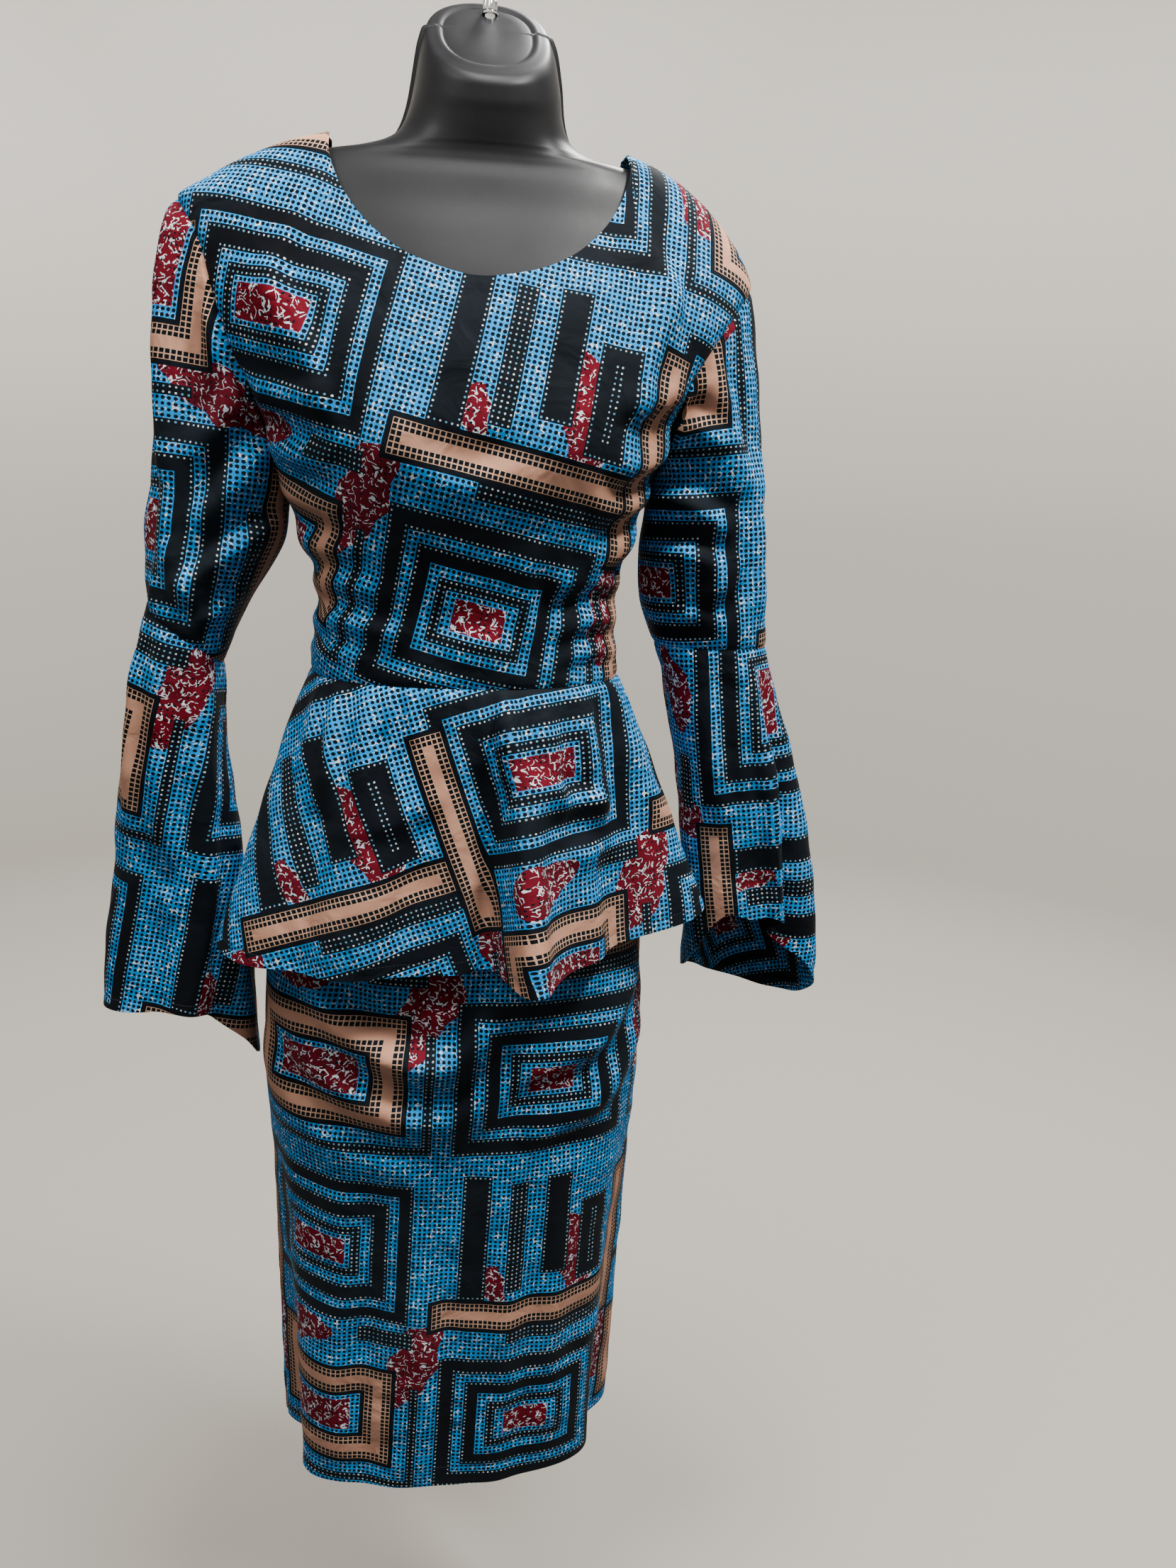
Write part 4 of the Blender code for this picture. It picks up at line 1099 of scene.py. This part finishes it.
# The peplum: a short flared skirt of the same cloth, sewn into the waist seam. Its cut is wider than the
# waist, so it falls in flutes, the main one just left of the middle, and its hem is turned up narrow.
# Share of its length, half width, depth to the front, depth to the back, place of its middle
PEPLUM = in_metres(
    (0, 137, 109, 72, 1),
    (120, 149, 114, 76, 1),
    (350, 169, 119, 84, 1),
    (700, 196, 126, 95, 1.5),
    (1000, 220, 132, 103, 2),
)
PEPLUM_HEM = -0.243
PEPLUM_HEM_DEPTH = 0.0115
PEPLUM_HEM_BUMPS = (
    (84, 22, 30), (92, 14, 15), (-70, -4, 14), (-94, 17, 18),
)
# Direction, rise at the hem, spread before it, spread after it
PEPLUM_FLUTES = (
    (-152, 14, 13), (-128, -10, 12), (-97, -30, 12, 11), (-74, 14, 8, 16), (-39, 20, 14, 10),
    (6.5, -12, 7, 4), (15.5, 53, 4, 13), (58, -20, 15, 13), (76, 15, 10, 8), (96, -28, 10, 13),
    (132, 12, 13), (166, 13, 13),
)
# How evenly a flute grows down to the hem: 1 is straight
FLUTE_GROWTH = 0.92
# Creases as on the sleeves, with degrees for across
PEPLUM_CREASES = (
    (2.6, 5.5, 5, 4, 5, -26, 4, -70), (3.4, 8, 13, 4, 14, -26, 16, -76),
    (4.6, 11, 29, 6, 30, -40, 32, -130), (5.2, 12, 45, 6, 47, -45, 52, -150),
    (4, 9, 64, 4, 67, -40, 71, -130), (2.4, 10, 21, -70, 17.5, -150, 15, -300),
    (-2.2, 11, 14, -75, 10.5, -150, 8, -300), (1.8, 5, -10, 4, -9, -18, -9, -40),
    (2.2, 5.2, -24, 4, -23, -20, -22, -46), (2.6, 5, -34, 4, -32, -16, -32, -40),
    (3.8, 10, -42, 6, -40, -36, -38, -110), (4, 9, -56, 6, -52, -34, -50, -110),
    (3, 6.5, -65, 2, -61, -26, -60, -90), (3, 8.5, 20, -70, 34, -92, 56, -100),
    (2.6, 9.5, 22, -120, 38, -140, 60, -138), (2, 10, -8, -80, -28, -110, -48, -120),
    (3.6, 13, -24, -60, -29, -140, -32, -245), (4, 12, 40, -110, 43, -180, 46, -300),
    (4, 12, -62, -90, -60, -160, -64, -300), (3.4, 8, 120, 0, 124, -40, 128, -100),
    (2.6, 6, 134, 0, 135, -30, 137, -70), (3, 6, 146, 0, 148, -30, 150, -70),
    (2.8, 6, 164, 0, 165, -30, 167, -80), (3.4, 8, -136, 0, -138, -40, -140, -90),
    (2.6, 6, -150, 0, -151, -30, -153, -60), (2.8, 6, -164, 0, -164, -30, -166, -70),
)
PEPLUM_ROUND = 0.125
SKIRT_TOP = -0.0003
# A skirt's panels: from and to which direction each goes, and which way it stands off its neighbours
PANELS = (("front", -90, 90, (0, -1)), ("back_left", 90, 180, (1, 1)), ("back_right", 180, 270, (-1, 1)))


def make_panels(name, surface_at, shares, columns, lays, hem_deep, creases, radius, top_sunk, calm, least):
    """A ring of cloth in three panels. surface_at gives its places at directions and shares of length."""
    for (part, first, last, (side, depth)), lay in zip(PANELS, lays):
        near = (0.0012, 0.0040, 0.0090)
        span = packed(columns if part == "front" else columns // 2, near, near)
        angle = np.radians(first + span * (last - first))
        surface = surface_at(angle[None, :], shares[:, None])[::-1]
        normals = outward_normals(surface, False)
        from_first, from_last, from_low, from_high = edge_distance(surface)
        sunk = np.maximum(seam_dip(from_first) + seam_dip(from_last), top_sunk(from_high))
        sunk = sunk + STITCH_DEPTH * hump(from_low - hem_deep + STITCH_INSET, 0.0010)
        rise = creased(angle[None, :] + 0 * from_low, surface[..., 2], creases, radius)
        rise = rise * (1 - 0.6 * hump(from_first, 0.010) - 0.6 * hump(from_last, 0.010)) * calm(from_high)
        rise = np.maximum(rise, least(from_high))
        gap = np.array([side, depth, 0.0]) * SEAM_GAP / 2
        grid = surface + normals * (rise - sunk)[..., None] + gap
        thick = CLOTH + HEM_TURN * (from_low < hem_deep)
        stitch_lines.append((hem_line(grid, from_low, hem_deep - STITCH_INSET), False))
        cloth_wall(f"{name}_{part}_cloth", grid, normals, False, *lay, thick, surface + gap)


def peplum_surface(angle, share):
    rise = bumps(angle, PEPLUM_FLUTES)
    hem = PEPLUM_HEM + bumps(angle, PEPLUM_HEM_BUMPS)
    top = -SEAM_GAP / 2
    half_width, front, back, middle = read_table(PEPLUM, share)
    x, y = section(angle, half_width, front, back, rise * share**FLUTE_GROWTH)
    return np.stack([x + middle, y, top + share * (hem - top)], axis=-1)


make_panels(
    "peplum",
    peplum_surface,
    packed(72, (0.006, 0.013, 0.022), (0.004, 0.010, 0.043, 0.047, 0.052)),
    200,
    ((-12.0, (0.210, 0.130)), (30.0, (0.060, 0.060)), (-25.0, (0.300, 0.250))),
    PEPLUM_HEM_DEPTH,
    PEPLUM_CREASES,
    PEPLUM_ROUND,
    seam_dip,
    lambda from_high: 1 - 0.3 * hump(from_high, 0.004),
    lambda from_high: -0.0002 - 0.14 * from_high,
)
dress_up("peplum_front")
dress_up("peplum_back_left")
dress_up("peplum_back_right")


# The skirt: straight, to the middle of the calf, in a front and two backs. Its cloth bags a little over
# the form's lower edge and hangs empty below it, drawn in by a fold at each side seam.
# Height, half width, depth to the front, depth to the back, place of its middle
SKIRT = in_metres(
    (0, 135.2, 107.2, 70.2, 1),
    (-50, 142, 107.5, 72, 0),
    (-120, 156, 109, 76, -2),
    (-200, 170, 112, 80, -4),
    (-300, 179, 116, 80, -5),
    (-380, 181, 118, 78, -6),
    (-480, 177, 117, 74, -6.5),
    (-620, 175.5, 115, 70, -8.5),
    (-795, 172.5, 114, 68, -10),
)
# Direction, rise at the hem, spread, height where it starts
SKIRT_FOLDS = (
    (-77, -24, 9, -400), (74, -22, 9, -400), (-58, 6, 9, -450), (54, 5, 9, -450),
)
# Over the form's lower edge: sideways place, height, rise, spread sideways, spread upwards
SAG = (-0.045, -0.330, 0.006, 0.060, 0.055)
SKIRT_CREASES = (
    (5.6, 13, -66, -230, -40, -312, -10, -334, 22, -290),
    (5, 14, -76, -270, -42, -364, -8, -390, 26, -350), (3.6, 14, -80, -330, -46, -420, -10, -446),
    (4.4, 13, 76, -260, 52, -330, 20, -352), (3.4, 13, 80, -330, 52, -394, 26, -416),
    (3.4, 14, -48, -420, -46, -540, -50, -700, -48, -810),
    (2.4, 16, -16, -500, -14, -640, -16, -810), (2.8, 15, 22, -440, 24, -600, 22, -810),
    (2.6, 14, 44, -480, 42, -640, 46, -810), (1.2, 6, -4, -700, 2, -716, 8, -712),
    (3.4, 12, 150, -290, 172, -344, 196, -350, 214, -310), (3, 12, 140, -340, 170, -410, 204, -404),
    (3, 15, 134, -420, 136, -600, 132, -810), (2.4, 15, 166, -460, 164, -620, 168, -810),
    (2.6, 15, -158, -440, -156, -620, -160, -810), (3, 15, -130, -400, -128, -600, -132, -810),
)
SKIRT_ROUND = 0.140
SKIRT_HEM_DEPTH = 0.0220


def skirt_surface(angle, share):
    hem = SKIRT[-1][0]
    height = SKIRT_TOP + share * (hem - SKIRT_TOP)
    half_width, front, back, middle = read_table(SKIRT, height)
    across, level, fullness, wide, tall = SAG
    x, y = section(angle, half_width, front, back)
    rise = fullness * hump(x - across, wide) * hump(height - level, tall) * (y < 0)
    for at, size, spread, begins in SKIRT_FOLDS:
        grown = np.clip((begins / 1000 - height) / (begins / 1000 - hem), 0, 1)
        away = turned(angle - math.radians(at))
        rise = rise + size / 1000 * grown**0.9 * hump(away, math.radians(spread))
    x, y = section(angle, half_width, front, back, rise)
    return np.stack([x + middle, y, height + 0.0 * x], axis=-1)


make_panels(
    "skirt",
    skirt_surface,
    packed(190, (0.002, 0.006), (0.0012, 0.0030, 0.0260, 0.0275, 0.0290)),
    150,
    ((2.0, (0.030, 0.010)), (0.0, (0.240, 0.100)), (0.0, (0.120, 0.300))),
    SKIRT_HEM_DEPTH,
    SKIRT_CREASES,
    SKIRT_ROUND,
    lambda from_high: 0.0020 * np.clip((0.030 - from_high) / 0.020, 0, 1),
    lambda from_high: np.clip((from_high - 0.10) / 0.10, 0, 1),
    lambda from_high: -0.0050,
)
dress_up("skirt_front")
dress_up("skirt_back_left")
dress_up("skirt_back_right")


# The hem stitches: one row of machine stitches in dark polyester thread, through the turned edge of
# each bell, the peplum and the skirt.
STITCH_PITCH = 0.0032
STITCH_LENGTH = 0.0025
THREAD = 0.00038
SHORTEST = 0.86
LONGEST = 1.08
STITCH_SEED = 4


def stitch_tree():
    """Puts short rounded stitches end to end along lines, each with a little of its own length."""
    sizes = [("Pitch", "Float"), ("Length", "Float"), ("Thread", "Float"), ("Seed", "Int")]
    inputs = [("Lines", "Geometry"), *sizes, ("Material", "Material")]
    tree, given, result = new_group("row of stitches", inputs, [("Stitches", "Geometry")], "Geometry")
    add = adder(tree, "")
    line = add("GeometryNodeMeshToCurve", "Curve", {"Mesh": given["Lines"]})
    fed = {"Curve": line, "Length": given["Pitch"]}
    places = add("GeometryNodeCurveToPoints", None, fed, mode="LENGTH")
    fed = {2: SHORTEST, 3: LONGEST, "Seed": given["Seed"]}
    uneven = add("FunctionNodeRandomValue", 1, fed, data_type="FLOAT")
    length = add("ShaderNodeMath", 0, {0: given["Length"], 1: uneven}, operation="MULTIPLY")
    size = add("ShaderNodeCombineXYZ", 0, {0: given["Thread"], 1: given["Thread"], 2: length})
    bead = add("GeometryNodeMeshUVSphere", "Mesh", {"Segments": 6, "Rings": 5, "Radius": 0.5})
    fed = {"Points": places["Points"], "Instance": bead, "Rotation": places["Rotation"], "Scale": size}
    copies = add("GeometryNodeInstanceOnPoints", "Instances", fed)
    whole = add("GeometryNodeRealizeInstances", "Geometry", {"Geometry": copies})
    fed = {"Geometry": whole, "Material": given["Material"]}
    feed(tree, result, {"Stitches": add("GeometryNodeSetMaterial", "Geometry", fed)})
    return tree


def dark_thread(add):
    """Navy polyester thread, its twist showing as a fine change of tone and height."""
    twist = add("TexNoise", "Fac", {"Vector": add("TexCoord", "Object", {}), "Scale": 2400.0})
    return {
        "Base Color": mixed(add, twist, (0.006, 0.010, 0.020), (0.020, 0.034, 0.060)),
        "Roughness": 0.55,
        "Normal": add("Bump", "Normal", {"Height": twist, "Strength": 0.3, "Distance": 0.0001}),
    }


def make_stitches():
    points, edges = [], []
    for line, closes in stitch_lines:
        first = len(points)
        points += (line + WAIST).tolist()
        edges += [(first + i, first + i + 1) for i in range(len(line) - 1)]
        if closes:
            edges.append((len(points) - 1, first))
    mesh = bpy.data.meshes.new("stitch lines")
    mesh.from_pydata(points, edges, [])
    guide = placed("stitch lines", mesh)
    modifier = guide.modifiers.new("stitches", "NODES")
    modifier.node_group = stitch_tree()
    sockets = modifier.node_group.interface.items_tree
    named = {item.name: item.identifier for item in sockets if item.in_out == "INPUT"}
    sizes = {"Pitch": STITCH_PITCH, "Length": STITCH_LENGTH, "Thread": THREAD, "Seed": STITCH_SEED}
    for name, value in {**sizes, "Material": material_of("navy thread", dark_thread)}.items():
        modifier[named[name]] = value
    made = guide.evaluated_get(bpy.context.evaluated_depsgraph_get())
    stitches = placed("hem_stitches", bpy.data.meshes.new_from_object(made))
    guide.modifiers.remove(modifier)
    bpy.data.objects.remove(guide)
    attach(stitches, "root")


make_stitches()


# The studio: a round pale floor that sweeps up into a wall all round, soft lamps, and the camera at the
# photograph's place: a little above the waist, turned a few degrees, and tipped down.
FLOOR_HEIGHT = -1.850
FLOOR_RADIUS = 3.4
SWEEP_RADIUS = 1.2
WALL_TOP = 3.4


def pale_paper(add):
    """Matt studio paper, a little lighter up the wall than on the floor: painted light, standing in for
    light that falls off towards the floor.
    """
    height = add("SeparateXYZ", "Z", {0: add("TexCoord", "Object", {})})
    # Painted light: the paper's colour brightens with height, a painted falloff from the bright wall down
    # to the darker floor.
    painted_light_upwards = ranged(add, height, FLOOR_HEIGHT - 0.3, 1.6, interpolation_type="SMOOTHSTEP")
    return {"Base Color": mixed(add, painted_light_upwards, (0.36, 0.33, 0.285), (0.84, 0.79, 0.71)), "Roughness": 0.9}


def make_floor():
    """One smooth bowl: rings of points from the middle of the floor outwards and up the wall."""
    line = [(1.0, FLOOR_HEIGHT), (2.2, FLOOR_HEIGHT)]
    for a in np.linspace(0, math.pi / 2, 13):
        rise = SWEEP_RADIUS * (1 - math.cos(a))
        line.append((FLOOR_RADIUS + SWEEP_RADIUS * math.sin(a), FLOOR_HEIGHT + rise))
    line.append((FLOOR_RADIUS + SWEEP_RADIUS, WALL_TOP))
    count = 96
    turn = np.linspace(0, 2 * math.pi, count, endpoint=False)
    points = [(0.0, 0.0, FLOOR_HEIGHT)]
    points += [(r * math.cos(t), r * math.sin(t), z) for r, z in line for t in turn]
    faces = [(0, 1 + j, 1 + (j + 1) % count) for j in range(count)]
    for a, b, c, d in (1 + ring_corners(len(line), count)).tolist():
        faces.append((a, d, c, b))
    mesh = bpy.data.meshes.new("studio_floor")
    mesh.from_pydata(points, [], faces)
    mesh.shade_smooth()
    mesh.materials.append(material_of("pale paper", pale_paper))
    floor = placed("studio_floor", mesh)
    floor.visible_diffuse = False


def add_lamp(name, place, aim, size, power, colour):
    data = bpy.data.lights.new(name, "AREA")
    data.shape = "RECTANGLE"
    data.size, data.size_y = size
    data.energy = power
    data.color = colour
    lamp = placed(name, data)
    lamp.location = place
    way = mathutils.Vector(aim) - mathutils.Vector(place)
    lamp.rotation_euler = way.to_track_quat("-Z", "Y").to_euler()
    lamp.visible_camera = False


def add_camera():
    """The camera found from the photograph: its place, turn, tilt and roll."""
    yaw, pitch, roll = math.radians(-8.55), math.radians(15.02), math.radians(2.19)
    right = np.array((math.cos(yaw), math.sin(yaw), 0.0))
    ahead = np.array((-math.sin(yaw), math.cos(yaw), 0.0))
    up = ahead * math.sin(pitch) + np.array((0.0, 0.0, math.cos(pitch)))
    ahead = ahead * math.cos(pitch) - np.array((0.0, 0.0, math.sin(pitch)))
    level = right * math.cos(roll) + up * math.sin(roll)
    upright = -right * math.sin(roll) + up * math.cos(roll)
    data = bpy.data.cameras.new("camera")
    data.lens = 27.05
    data.sensor_width = 36.0
    data.sensor_fit = "AUTO"
    data.clip_start = 0.05
    data.clip_end = 50.0
    camera = placed("camera", data)
    turned_by = np.stack([level, upright, -ahead], axis=1)
    rows = [(*row, at) for row, at in zip(turned_by, (-0.0588, -1.0837, -0.4436))]
    camera.matrix_world = mathutils.Matrix([*rows, (0.0, 0.0, 0.0, 1.0)])
    bpy.context.scene.camera = camera


make_floor()
add_lamp("key", (1.05, -0.85, 1.7), (0.0, 0.0, -0.7), (0.4, 0.4), 108.0, (1.0, 0.985, 0.96))
add_lamp("fill", (-1.1, -1.0, 1.2), (0.0, 0.0, -0.7), (0.8, 0.8), 22.0, (1.0, 0.99, 0.97))
add_lamp("ceiling", (0.0, -0.75, 2.1), (0.0, -0.05, -0.7), (0.7, 0.5), 88.0, (1.0, 1.0, 1.0))
add_lamp("back", (1.0, 1.6, 1.9), (0.0, 0.0, -0.7), (0.7, 0.5), 130.0, (1.0, 0.99, 0.97))
for side, x, y in (("behind", 0, 1), ("in front", 0, -1), ("at the right", 1, 0), ("at the left", -1, 0)):
    place, aim = (1.5 * x, 1.5 * y, 1.3), (4.4 * x, 4.4 * y, -0.4)
    add_lamp(f"wall {side}", place, aim, (3.0, 0.8), 120.0, (1.0, 0.985, 0.96))
world = bpy.data.worlds.new("studio")
world.use_nodes = True
world.node_tree.nodes["Background"].inputs["Color"].default_value = (0.80, 0.82, 0.85, 1.0)
world.node_tree.nodes["Background"].inputs["Strength"].default_value = 0.18
bpy.context.scene.world = world
add_camera()
